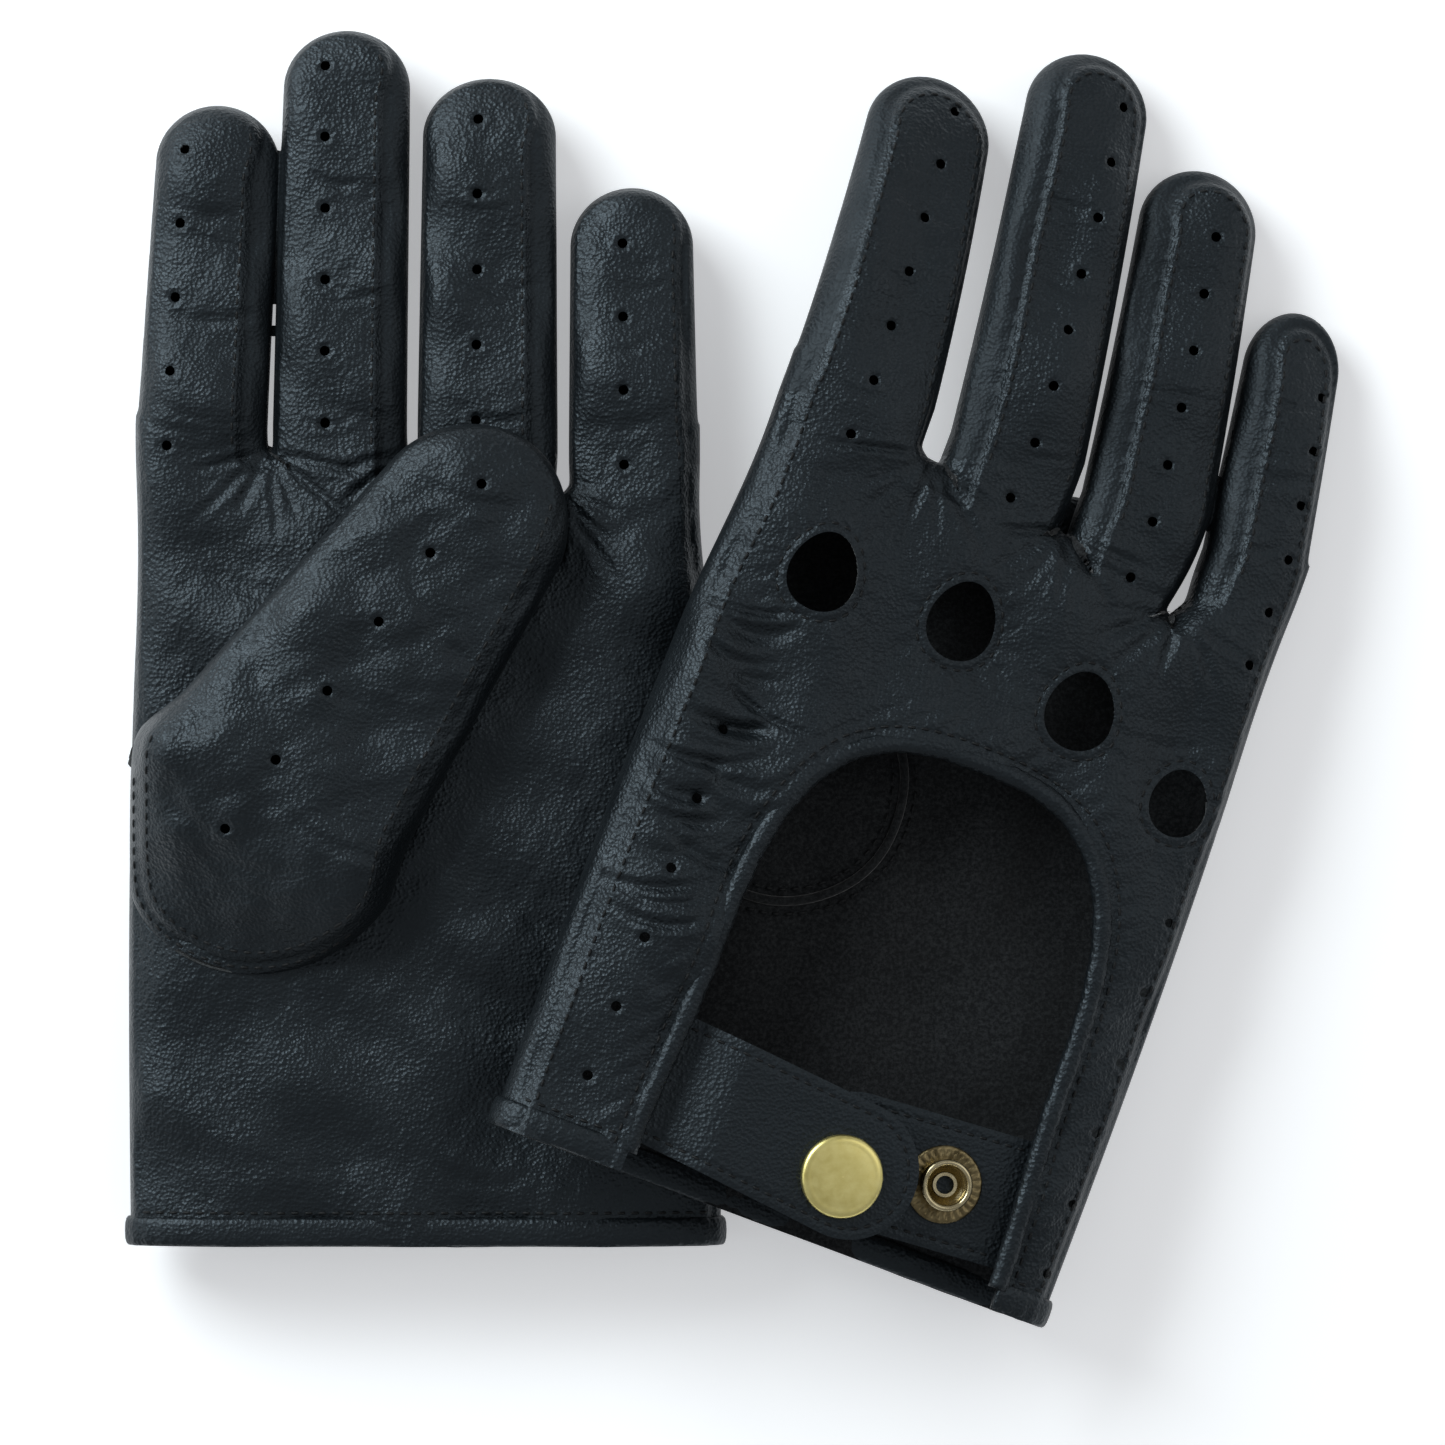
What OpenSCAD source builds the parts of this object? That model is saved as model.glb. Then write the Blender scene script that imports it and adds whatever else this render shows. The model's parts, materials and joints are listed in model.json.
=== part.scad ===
// A pair of unlined leather driving gloves: the left one lies palm up, the right one lies back up
// with its edge on the left glove's palm, as a pair is laid out.
//
// Each glove is drawn in its own frame: u runs across the hand towards the little finger, v from
// the hem to the fingertips, and w out of the back of the hand. Angles round a tube are measured
// in a section of it, from +u towards +w.

/* [Leather] */
// Thickness of the leather
leather_t = 1; // [0.8:0.1:1.2]
// Exponent of the flattened tube sections, below 1 for fuller corners
section_power = 0.77; // [0.7:0.01:0.9]

/* [Hand] */
// Half width at the hem
hem_half_w = 55.2; // [53:0.1:57]
// Half width at the finger folds
fold_half_w = 52.6; // [51:0.1:54]
// Extra half width at the middle of the hand
hand_bulge = 1.4; // [0:0.1:2]
// Half thickness at the hem
hem_half_t = 8.4; // [8:0.1:9]
// Half thickness at the finger folds
fold_half_t = 6.8; // [6:0.1:8]
// Extra half thickness at the middle of the hand
hand_swell = 1.4; // [0.5:0.1:2]
// Distance from the hem to the finger folds
hand_l = 152; // [150:1:154]

/* [Left fingers, index to little] */
// Place across the hand of each finger's fold
left_fold_u = [-41.8, -16, 11.6, 38.9]; // [-60:0.1:60]
// Distance of each finger's fold from the hem
left_fold_v = [153, 153, 153, 151]; // [140:0.5:160]
// Lean of each finger towards the little finger
left_lean = [3, 1, 0.3, -0.5]; // [-15:0.1:15]
// Length of each finger beyond its fold
left_finger_l = [60.5, 74.5, 65.5, 47]; // [30:0.5:90]
// Half width of each finger at its fold
left_finger_w = [12, 12.4, 13, 12]; // [9:0.1:15]
// Droop of each fingertip, towards the back of the hand
left_droop = [5, 5, 5, 5]; // [0:0.5:16]

/* [Right fingers, index to little] */
// Place across the hand of each finger's fold
right_fold_u = [-37.8, -6.2, 20.6, 43.8]; // [-60:0.1:60]
// Distance of each finger's fold from the hem
right_fold_v = [152, 152, 151, 149]; // [140:0.5:160]
// Lean of each finger towards the little finger
right_lean = [-4.6, -7.2, -8.4, -8.6]; // [-15:0.1:15]
// Length of each finger beyond its fold
right_finger_l = [61, 76, 64, 47]; // [30:0.5:90]
// Half width of each finger at its fold
right_finger_w = [14, 12.8, 12.2, 9.8]; // [9:0.1:15]
// Droop of each fingertip, towards the palm
right_droop = [16, 11, 8, 3.5]; // [0:0.5:18]

/* [Thumb] */
// Middle of the crease at the left thumb's root
left_thumb_root = [-28, 79.5]; // [-100:0.5:100]
// Middle of the crease at the right thumb's root
right_thumb_root = [-24, 79]; // [-100:0.5:100]
// Turn of the thumb from the hand's length, towards the little finger
thumb_turn = 35.3; // [30:0.1:40]
// Length of the left and the right thumb beyond the crease
thumb_l = [85, 82]; // [70:0.5:90]
// Half width of the left and the right thumb at the crease
thumb_half_w = [26.5, 21.5]; // [20:0.1:28]
// Half width of the thumb where its tip starts to round
thumb_tip_w = 16.5; // [14:0.1:18]
// Half thickness of the left thumb and of the right one, which is pressed flat under the hand
thumb_half_t = [7.4, 4.8]; // [4.6:0.1:9]
// Radius of the seam that sets the left and the right thumb into the palm
thumb_seam_r = [27.5, 24.5]; // [22:0.1:28]

/* [Back window] */
// Half width of the window
window_half_w = 35.5; // [32:0.1:38]
// Place of the window's middle across the hand
window_u = 6; // [0:0.1:8]
// Distance from the hem to the window's top
window_top = 94; // [90:0.5:98]
// Radius of the rolled edge binding
binding_r = 1.4; // [1:0.1:1.6]
// Height of the hem's binding
hem_binding_h = 5; // [4:0.1:6]

/* [Knuckle holes, index to little] */
// Place of each hole across the hand
hole_u = [-34.5, -6.5, 20.3, 44.2]; // [-60:0.1:60]
// Distance of each hole from the hem
hole_v = [116.6, 117.4, 109.7, 100.3]; // [90:0.1:125]
// Width of each hole
hole_w = [13, 13, 13, 12]; // [10:0.1:16]
// Length of each hole
hole_h = [15, 15, 15, 12]; // [10:0.1:16]

/* [Straps] */
// Thickness of a strap's two layers
strap_t = 2; // [1.6:0.1:2.2]
// Width of a strap
strap_w = 24.6; // [22:0.1:26]
// Radius of the cap strap's round end
strap_end_r = 12.9; // [12:0.1:14]
// Middle of the cap strap's round end
strap_end = [9.2, 15]; // [-100:0.1:100]
// Place across the hand of the cap strap's fold
strap_fold_u = -27; // [-28:0.1:-25]
// Level of the cap strap's top face at its fold, above the hand's middle
strap_fold_level = 5.8; // [5.6:0.1:6]
// Level of the cap strap's top face at the snap
strap_top_level = 9.4; // [9.2:0.1:10]
// Level of the stud strap's top face
stud_strap_level = 4.2; // [3.8:0.1:4.4]

/* [Snap fastener] */
// Middle of the cap
cap_at = [7.8, 13.3]; // [-100:0.1:100]
// Middle of the stud
stud_at = [27.8, 18.6]; // [-100:0.1:100]
// Diameter of the cap
cap_d = 15.5; // [15:0.1:16]
// Height of the cap above its strap
cap_h = 2; // [1.6:0.1:2.4]
// Diameter of the stud's flange
stud_flange_d = 14.6; // [14:0.1:15]
// Diameter of the stud's lip, which the socket grips
stud_lip_d = 9.7; // [9:0.1:10]
// Height of the stud above its strap
stud_h = 3.6; // [3:0.1:3.8]
// Diameter of the hole through the stud's eyelet
eyelet_bore_d = 3.4; // [3:0.1:3.6]
// Height of the socket under the cap strap
socket_h = 2.9; // [2.6:0.1:3]

/* [Lying pose] */
// Place of the left glove's hem middle
left_at = [-57.66, -106.3]; // [-200:0.1:200]
// Place of the right glove's hem middle
right_at = [6.14, -101.9]; // [-200:0.1:200]
// Height of the right glove's hem middle
right_lift = 28.3; // [24:0.1:32]
// Turn of the right glove, clockwise from above
right_yaw = 21; // [18:0.1:24]
// Roll of the right glove, down towards the little finger
right_roll = 11; // [9:0.1:13]
// Pitch of the right glove, down towards the fingertips
right_pitch = 3.5; // [2:0.1:5]

/* [Hidden] */

LEFT = 0;
RIGHT = 1;
fold_u = [left_fold_u, right_fold_u];
fold_v = [left_fold_v, right_fold_v];
lean = [left_lean, right_lean];
finger_l = [left_finger_l, right_finger_l];
finger_w = [left_finger_w, right_finger_w];
droop = [left_droop, -right_droop];
thumb_root = [left_thumb_root, right_thumb_root];

gap = 0.3;                      // clearance at a fold
touch = 0.1;                    // clearance between pieces sewn together
past = 40;                      // reach of a cutting shape beyond what it cuts
hand_rows = 13;
hand_seam_left = 156;           // the palm leather wraps the index edge up to this angle
hand_seam_right = -25;          // the back leather wraps the little-finger edge down to this one
finger_taper = 1.4;             // half width and half thickness that a finger loses to its tip
fingertip_l = 11;
thumb_tip_l = 17;
thumb_swell = [2.5, 1];          // bulge of the hood at the thumb's root
thumb_skew = [2.5, 0];             // how far the thumb's root lies towards the index edge
fork_v = [[148, 148, 140], [144, 140, 133]];
fork_half_w = 0.8;
window_power = 0.72;
window_spread = 2;              // what each side of the window leans out below its arch
window_spring = 45;             // distance from the hem to where the window's arch starts
left_lift = strap_top_level + cap_h;
palm_level = hem_half_t + 0.9;  // the thumb lies just clear of the palm at this depth

post_r = 1.9;                   // post of the cap, which holds the socket
barrel_r = eyelet_bore_d / 2 + 0.6;
cap_rim_t = 0.5;
lip_r = stud_lip_d / 2;
socket_r = 6.2;

// ---- sections -------------------------------------------------------------------------------

function sp(x, power) = sign(x) * pow(abs(x), power);

// Point of a flattened tube's section: half width a, half thickness b
function section(a, b, angle) = [
    a * sp(cos(angle), section_power),
    b * sp(sin(angle), section_power),
];

function hand_a(v) =
    hem_half_w + (fold_half_w - hem_half_w) * v / hand_l + hand_bulge * sin(180 * v / hand_l);
function hand_b(v) =
    hem_half_t + (fold_half_t - hem_half_t) * v / hand_l + hand_swell * sin(180 * v / hand_l);
function hand_c(v) = -1.4 * v / hand_l;
function hand_point(v, angle, inset) =
    let (p = section(hand_a(v) - inset, hand_b(v) - inset, angle))
    [hand_c(v) + p.x, v, p.y];

// Height of the hand's outer skin over a place in the hand's plane
function hand_skin(u, v) =
    let (ratio = min(0.995, abs(u - hand_c(v)) / hand_a(v)))
    hand_b(v) * pow(1 - pow(ratio, 2 / section_power), section_power / 2);

// Share of a tube's size left at a distance along it, where the last tip_l rounds off
function tip_round(s, l, tip_l) =
    s <= l - tip_l ? 1 : sqrt(max(0, 1 - pow((s - l + tip_l) / tip_l, 2)));

function finger_point(g, i, s, angle, inset) =
    let (l = finger_l[g][i])
    let (left = tip_round(s, l, fingertip_l))
    let (a = (finger_w[g][i] - finger_taper * s / l) * left)
    let (b = (fold_half_t - finger_taper * s / l) * left)
    let (keep = max(0.05, 1 - inset / max(a, 0.01)))
    let (p = section(a * keep, b * max(0.05, 1 - inset / max(b, 0.01)), angle))
    [p.x, s, p.y + droop[g][i] * pow(s / l, 1.8)];

// Stations along a tube: even ones, then ones that close the tip
function stations(l, tip_l, even) = concat(
    [for (i = [0:even]) gap / 2 + (l - tip_l - gap / 2) * i / even],
    [for (turn = [25, 50, 70, 84]) l - tip_l + tip_l * sin(turn)]
);

function thumb_half(g, s) =
    let (straight = thumb_l[g] - thumb_tip_l)
    thumb_half_w[g] + (thumb_tip_w - thumb_half_w[g]) * s / straight;
function thumb_depth(g, s) = palm_level + thumb_half_t[g] - 2 * pow(s / thumb_l[g], 2);

// The thumb's sections face the other way: 90 degrees looks away from the palm
function thumb_point(g, s, angle, inset) =
    let (left = tip_round(s, thumb_l[g], thumb_tip_l))
    let (a = thumb_half(g, max(0, s)) * left)
    let (b = (thumb_half_t[g] - 1.1 * max(0, s) / thumb_l[g]) * left)
    let (p = section(a * max(0.05, 1 - inset / a), b * max(0.05, 1 - inset / b), angle))
    [p.x - thumb_skew[g] * max(0, 1 - s / 60), s, -thumb_depth(g, max(0, s)) - p.y];

// ---- shells ---------------------------------------------------------------------------------

function quad(a, b, c, d) = [[a, b, c], [a, c, d]];

// Closed shell between two matching grids of points, with rows along the tube
module shell(outer, inner) {
    rows = len(outer);
    cols = len(outer[0]);
    half = rows * cols;
    points = [for (grid = [outer, inner]) for (row = grid) each row];
    faces = [
        for (i = [0:rows - 2])
            for (j = [0:cols - 2])
                let (a = i * cols + j)
                each concat(
                    quad(a, a + 1, a + cols + 1, a + cols),
                    quad(half + a, half + a + cols, half + a + cols + 1, half + a + 1)
                ),
        for (i = [0:rows - 2])
            let (a = i * cols)
            let (z = i * cols + cols - 1)
            each concat(
                quad(a, a + cols, half + a + cols, half + a),
                quad(z, half + z, half + z + cols, z + cols)
            ),
        for (j = [0:cols - 2])
            let (a = j)
            let (z = half - cols + j)
            each concat(
                quad(a, half + a, half + a + 1, a + 1),
                quad(z, z + 1, half + z + 1, half + z)
            ),
    ];
    polyhedron(points, faces);
}

// Solid tube along a row of rings, closed at both ends
module tube(rings) {
    rows = len(rings);
    cols = len(rings[0]);
    faces = [
        [for (j = [0:cols - 1]) j],
        for (i = [0:rows - 2])
            for (j = [0:cols - 1])
                let (k = (j + 1) % cols)
                each quad(i * cols + j, (i + 1) * cols + j, (i + 1) * cols + k, i * cols + k),
        [for (j = [cols - 1:-1:0]) (rows - 1) * cols + j],
    ];
    polyhedron([for (ring = rings) each ring], faces);
}

function steps(from, to, count) = [for (i = [0:count]) from + (to - from) * i / count];

module hand_patch(from, to, cols) {
    vs = steps(hem_binding_h + touch, hand_l + 6, hand_rows);
    shell(
        [for (v = vs) [for (angle = steps(from, to, cols)) hand_point(v, angle, 0)]],
        [for (v = vs) [for (angle = steps(from, to, cols)) hand_point(v, angle, leather_t)]]
    );
}

module finger_patch(g, i, from, to, cols) {
    ss = stations(finger_l[g][i], fingertip_l, 4);
    in_finger(g, i)
        shell(
            [for (s = ss) [for (angle = steps(from, to, cols)) finger_point(g, i, s, angle, 0)]],
            [for (s = ss) [for (angle = steps(from, to, cols)) finger_point(g, i, s, angle, leather_t)]]
        );
}

module thumb_patch(g, from, to, cols) {
    ss = stations(thumb_l[g], thumb_tip_l, 4);
    in_thumb(g)
        shell(
            [for (s = ss) [for (angle = steps(from, to, cols)) thumb_point(g, s, angle, leather_t)]],
            [for (s = ss) [for (angle = steps(from, to, cols)) thumb_point(g, s, angle, 0)]]
        );
}

// ---- places ---------------------------------------------------------------------------------

module in_finger(g, i) {
    translate([fold_u[g][i], fold_v[g][i], 0]) rotate(-lean[g][i]) children();
}

module in_thumb(g) {
    translate([thumb_root[g].x, thumb_root[g].y, 0]) rotate(-thumb_turn) children();
}

// Stands a glove's own frame in the pair's frame
module lay(g) {
    if (g == LEFT)
        translate([left_at.x, left_at.y, left_lift]) mirror([0, 0, 1]) children();
    else
        translate([right_at.x, right_at.y, right_lift])
            rotate([-right_pitch, right_roll, -right_yaw]) children();
}

// ---- outlines in the hand's plane -----------------------------------------------------------

function finger_edge(g, i, side, s) =
    let (r = side * (finger_w[g][i] + gap))
    [
        fold_u[g][i] + r * cos(lean[g][i]) + s * sin(lean[g][i]),
        fold_v[g][i] - r * sin(lean[g][i]) + s * cos(lean[g][i]),
    ];

// Slot between two fingers, from the fork up
module fork_slot(g, i) {
    low = finger_edge(g, i, 1, 0);
    high = finger_edge(g, i + 1, -1, 0);
    mid_u = (low.x + high.x) / 2;
    polygon([
        [mid_u - fork_half_w, fork_v[g][i]],
        [mid_u + fork_half_w, fork_v[g][i]],
        finger_edge(g, i + 1, -1, 12),
        finger_edge(g, i, 1, 12),
    ]);
}

// Everything beyond the finger folds
module beyond_folds(g) {
    for (i = [0:3]) {
        low = i == 0 ? -past : -finger_w[g][i] - gap;
        high = i == 3 ? past : finger_w[g][i] + gap;
        translate([fold_u[g][i], fold_v[g][i]])
            rotate(-lean[g][i])
                translate([low, -gap / 2]) square([high - low, past]);
    }
}

// Half width of the window below its arch, at v, and its outline down to the foot
function window_foot(v, grow) =
    window_half_w + grow + window_spread * (window_spring - v) / window_spring;
function window_outline(grow, foot) = [
    [window_u - window_foot(foot, grow), foot],
    for (turn = [180:-12:0])
        [
            window_u + (window_half_w + grow) * sp(cos(turn), window_power),
            window_spring + (window_top - window_spring + grow) * sp(sin(turn), window_power),
        ],
    [window_u + window_foot(foot, grow), foot],
];

// The seam round the thumb's root, as points of the thumb's frame
function thumb_seam(g, angle, inset) = [
    1.5 + (thumb_seam_r[g] - inset) * cos(angle),
    (thumb_seam_r[g] - inset) * sin(angle),
];

module thumb_hole(g) {
    in_thumb(g)
        polygon([for (angle = [180:15:360]) thumb_seam(g, angle, 1.6)]);
}

// ---- leather pieces -------------------------------------------------------------------------

module palm_panel(g) {
    color([0.06, 0.07, 0.08])
        difference() {
            hand_patch(hand_seam_left, 360 + hand_seam_right, 12);
            linear_extrude(2 * past, center = true) {
                beyond_folds(g);
                for (i = [0:2]) fork_slot(g, i);
            }
            translate([0, 0, -past]) linear_extrude(past) thumb_hole(g);
        }
}

module back_panel(g) {
    color([0.06, 0.07, 0.08])
        difference() {
            hand_patch(hand_seam_right, hand_seam_left, 12);
            linear_extrude(2 * past, center = true) {
                beyond_folds(g);
                for (i = [0:2]) fork_slot(g, i);
            }
            linear_extrude(past) polygon(window_outline(binding_r + 0.5, -past));
            linear_extrude(past) knuckle_holes();
        }
}

module knuckle_holes() {
    for (i = [0:3])
        translate([hole_u[i], hole_v[i]])
            polygon([for (turn = [0:24:336]) [hole_w[i] / 2 * cos(turn), hole_h[i] / 2 * sin(turn)]]);
}

// Side strips that join palm to back round each fork, up to the folds
module fork_gussets(g) {
    half_h = fold_half_t - 2 * leather_t;
    color([0.05, 0.06, 0.07])
        for (i = [0:2])
            linear_extrude(2 * half_h, center = true)
                difference() {
                    offset(delta = leather_t + touch) fork_slot(g, i);
                    offset(delta = touch) fork_slot(g, i);
                    beyond_folds(g);
                    translate([-100, hand_l + 2]) square([200, past]);
                }
}

// Hood of leather from the seam round the thumb's root up to the thumb's crease
module thumb_base(g) {
    low_angle = -48;
    high_angle = 228;
    turns = steps(0, 1, 14);
    function rim(q, inset) =
        let (flat = thumb_seam(g, 180 + 180 * q, inset))
        let (u = thumb_root[g].x + flat.x * cos(thumb_turn) + flat.y * sin(thumb_turn))
        let (v = thumb_root[g].y - flat.x * sin(thumb_turn) + flat.y * cos(thumb_turn))
        [flat.x, flat.y, -hand_skin(u, v) - touch];
    function hood(t, q, inset) =
        let (edge = rim(q, inset))
        let (arch = thumb_point(g, -gap / 2, high_angle + (low_angle - high_angle) * q, inset))
        edge + (arch - edge) * t - [0, 0, thumb_swell[g] * sin(180 * t) * sin(180 * q)];
    color([0.06, 0.07, 0.08])
        in_thumb(g)
            shell(
                [for (t = steps(0, 1, 6)) [for (q = turns) hood(t, q, 0)]],
                [for (t = steps(0, 1, 6)) [for (q = turns) hood(t, q, leather_t)]]
            );
}

// Rolled strip round the hem, from one side of the window round the palm to the other
module hem_binding() {
    from = -238;
    to = 36;
    out = 0.4;
    color([0.05, 0.06, 0.07])
        tube([
            for (angle = steps(from, to, 32))
                [
                    for (turn = [0:45:315])
                        let (p = hand_point(hem_binding_h / 2, angle, leather_t / 2))
                        let (q = hand_point(hem_binding_h / 2, angle, -1))
                        let (n = (q - p) / norm(q - p))
                        p + n * (leather_t / 2 + out) * sp(cos(turn), 0.6)
                            + [0, hem_binding_h / 2 * sp(sin(turn), 0.6), 0]
                ]
        ]);
}

// Rolled strip along the window's edge
module window_binding() {
    path = [
        for (p = window_outline(0, hem_binding_h + touch))
            [p.x, p.y, hand_skin(p.x, p.y) - leather_t / 2]
    ];
    last = len(path) - 1;
    color([0.05, 0.06, 0.07])
        tube([
            for (i = [0:last])
                let (ahead = path[min(last, i + 1)] - path[max(0, i - 1)])
                let (along = ahead / norm(ahead))
                let (side = cross([0, 0, 1], along))
                let (across = side / norm(side))
                let (up = cross(along, across))
                [for (turn = [0:45:315]) path[i] + binding_r * (cos(turn) * across + sin(turn) * up)]
        ]);
}

// ---- straps ---------------------------------------------------------------------------------

module cap_strap_outline() {
    hull() {
        translate([strap_fold_u + gap / 2, strap_end.y + 5.8 - strap_w / 2]) square([1, strap_w]);
        translate(strap_end) circle(strap_end_r, $fn = 48);
    }
}

// The strap that carries the cap: it ramps up from its fold and lies level at the snap
module cap_strap() {
    start = strap_fold_u + gap / 2;
    ramp = start + 11;
    stop = strap_end.x + strap_end_r + 1;
    color([0.06, 0.07, 0.08])
        difference() {
            intersection() {
                linear_extrude(past) cap_strap_outline();
                translate([0, past, 0]) rotate([90, 0, 0])
                    linear_extrude(2 * past)
                        polygon([
                            [start, strap_fold_level - strap_t],
                            [ramp, strap_top_level - strap_t],
                            [stop, strap_top_level - strap_t],
                            [stop, strap_top_level],
                            [ramp, strap_top_level],
                            [start, strap_fold_level],
                        ]);
            }
            translate([cap_at.x, cap_at.y, 0]) cylinder(h = past, r = post_r + touch, $fn = 32);
        }
}

// The end of that strap, sewn in under the window's edge
module cap_strap_root() {
    hidden_l = 9;
    color([0.06, 0.07, 0.08])
        translate([
            strap_fold_u - gap / 2 - hidden_l,
            strap_end.y + 5.8 - strap_w / 2,
            strap_fold_level - strap_t,
        ])
            cube([hidden_l, strap_w, strap_t]);
}

// The strap that carries the stud, sewn in under the window's other edge
module stud_strap() {
    color([0.06, 0.07, 0.08])
        translate([0, 0, stud_strap_level - strap_t])
            difference() {
                linear_extrude(strap_t)
                    translate(stud_at) rotate(4) hull() {
                        translate([16, -strap_w / 2]) square([1, strap_w]);
                        translate([-17.5, 0]) circle(strap_w / 2, $fn = 48);
                    }
                translate([stud_at.x, stud_at.y, -1])
                    cylinder(h = past, r = barrel_r + touch, $fn = 32);
            }
}

// ---- snap fastener --------------------------------------------------------------------------

// Flat-faced cap with a rolled rim and the hollow post that holds the socket
module snap_cap() {
    r = cap_d / 2;
    color([0.79, 0.66, 0.29])
        translate([cap_at.x, cap_at.y, strap_top_level])
            rotate_extrude($fn = 96)
                polygon([
                    [0, cap_h],
                    [r - 1.1, cap_h],
                    [r - 0.3, cap_h - 0.35],
                    [r, cap_h - 1],
                    [r, 0.35],
                    [r - 0.4, 0],
                    [r - 1.6, 0],
                    [r - 1.6, cap_rim_t],
                    [post_r, cap_rim_t],
                    [post_r, -strap_t - 0.7],
                    [post_r - 0.5, -strap_t - 0.7],
                    [post_r - 0.5, cap_rim_t + 0.2],
                    [0, cap_rim_t + 0.2],
                ]);
}

// Socket pressed on the post, open downwards for the stud
module snap_socket() {
    color([0.42, 0.36, 0.22])
        translate([cap_at.x, cap_at.y, strap_top_level - strap_t])
            rotate_extrude($fn = 96)
                polygon([
                    [post_r + 0.02, 0],
                    [socket_r, 0],
                    [socket_r, -socket_h + 0.3],
                    [socket_r - 0.3, -socket_h],
                    [lip_r + 0.1, -socket_h],
                    [lip_r + 0.1, -socket_h + 0.5],
                    [lip_r + 0.75, -socket_h + 0.5],
                    [lip_r + 0.75, -0.6],
                    [post_r + 0.02, -0.6],
                ]);
}

// Split ring in the socket's groove that grips the stud's lip
module socket_spring() {
    wire_r = 0.28;
    color([0.7, 0.7, 0.72])
        translate([cap_at.x, cap_at.y, strap_top_level - strap_t - 1.5])
            rotate_extrude(angle = 310, $fn = 96)
                translate([lip_r + 0.35, 0]) circle(wire_r, $fn = 20);
}

// Stud: a broad flange on the strap and a hollow collar whose lip the socket grips
module snap_stud() {
    collar_r = lip_r - 0.5;
    color([0.42, 0.36, 0.22])
        translate([stud_at.x, stud_at.y, stud_strap_level])
            rotate_extrude($fn = 96)
                polygon([
                    [barrel_r + 0.02, 0],
                    [stud_flange_d / 2, 0],
                    [stud_flange_d / 2, 0.45],
                    [stud_flange_d / 2 - 0.3, 0.7],
                    [collar_r, 0.7],
                    [collar_r, stud_h - 1.3],
                    [lip_r, stud_h - 0.9],
                    [lip_r, stud_h - 0.3],
                    [lip_r - 0.3, stud_h],
                    [lip_r - 1, stud_h],
                    [collar_r - 0.6, stud_h - 0.6],
                    [collar_r - 0.6, 0.6],
                    [barrel_r + 0.02, 0.6],
                ]);
}

// Eyelet through the strap, with its barrel rolled over inside the stud
module stud_eyelet() {
    color([0.6, 0.5, 0.25])
        translate([stud_at.x, stud_at.y, stud_strap_level])
            difference() {
                union() {
                    translate([0, 0, -strap_t - 0.6]) cylinder(h = 0.6, r = 5.4, $fn = 64);
                    translate([0, 0, -strap_t - 0.6])
                        cylinder(h = strap_t + 1.9, r = barrel_r, $fn = 48);
                }
                translate([0, 0, -strap_t - 1])
                    cylinder(h = strap_t + 3, r = eyelet_bore_d / 2, $fn = 48);
            }
}

// ---- finger and thumb pieces ----------------------------------------------------------------

// Angles round a finger where its pieces meet: back, left strip, palm, right strip. The index has
// no left strip and the little finger no right one: there the back leather meets the palm's.
seams = [
    [-12, 135, 135, 300],
    [-12, 125, 187, 300],
    [-12, 125, 187, 300],
    [-38, 125, 187, 322],
];

module finger_back(g, i) {
    color([0.06, 0.07, 0.08]) finger_patch(g, i, seams[i][0], seams[i][1], 7);
}

module finger_palm(g, i) {
    color([0.06, 0.07, 0.08]) finger_patch(g, i, seams[i][2], seams[i][3], 6);
}

module finger_gussets(g, i) {
    color([0.05, 0.06, 0.07]) {
        if (seams[i][2] > seams[i][1]) finger_patch(g, i, seams[i][1], seams[i][2], 3);
        if (seams[i][3] < 360 + seams[i][0]) finger_patch(g, i, seams[i][3], 360 + seams[i][0], 3);
    }
}

thumb_seams = [30, 200, 390];

module thumb_front(g) {
    color([0.06, 0.07, 0.08]) thumb_patch(g, thumb_seams[0], thumb_seams[1], 8);
}

module thumb_back(g) {
    color([0.06, 0.07, 0.08]) thumb_patch(g, thumb_seams[1], thumb_seams[2], 8);
}

// ---- the pair -------------------------------------------------------------------------------

lay(LEFT) palm_panel(LEFT);  // left_palm_panel
lay(LEFT) back_panel(LEFT);  // left_back_panel
lay(LEFT) fork_gussets(LEFT);  // left_fork_gussets
lay(LEFT) thumb_base(LEFT);  // left_thumb_base
lay(LEFT) hem_binding();  // left_hem_binding
lay(LEFT) window_binding();  // left_window_binding
lay(LEFT) cap_strap_root();  // left_cap_strap_root
lay(LEFT) stud_strap();  // left_stud_strap
lay(LEFT) snap_stud();  // left_snap_stud
lay(LEFT) stud_eyelet();  // left_stud_eyelet
lay(LEFT) finger_back(LEFT, 0);  // left_index_back
lay(LEFT) finger_palm(LEFT, 0);  // left_index_palm
lay(LEFT) finger_gussets(LEFT, 0);  // left_index_gusset
lay(LEFT) finger_back(LEFT, 1);  // left_middle_back
lay(LEFT) finger_palm(LEFT, 1);  // left_middle_palm
lay(LEFT) finger_gussets(LEFT, 1);  // left_middle_gussets
lay(LEFT) finger_back(LEFT, 2);  // left_ring_back
lay(LEFT) finger_palm(LEFT, 2);  // left_ring_palm
lay(LEFT) finger_gussets(LEFT, 2);  // left_ring_gussets
lay(LEFT) finger_back(LEFT, 3);  // left_little_back
lay(LEFT) finger_palm(LEFT, 3);  // left_little_palm
lay(LEFT) finger_gussets(LEFT, 3);  // left_little_gusset
lay(LEFT) thumb_front(LEFT);  // left_thumb_front
lay(LEFT) thumb_back(LEFT);  // left_thumb_back
lay(LEFT) cap_strap();  // left_cap_strap
lay(LEFT) snap_cap();  // left_snap_cap
lay(LEFT) snap_socket();  // left_snap_socket
lay(LEFT) socket_spring();  // left_socket_spring
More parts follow.
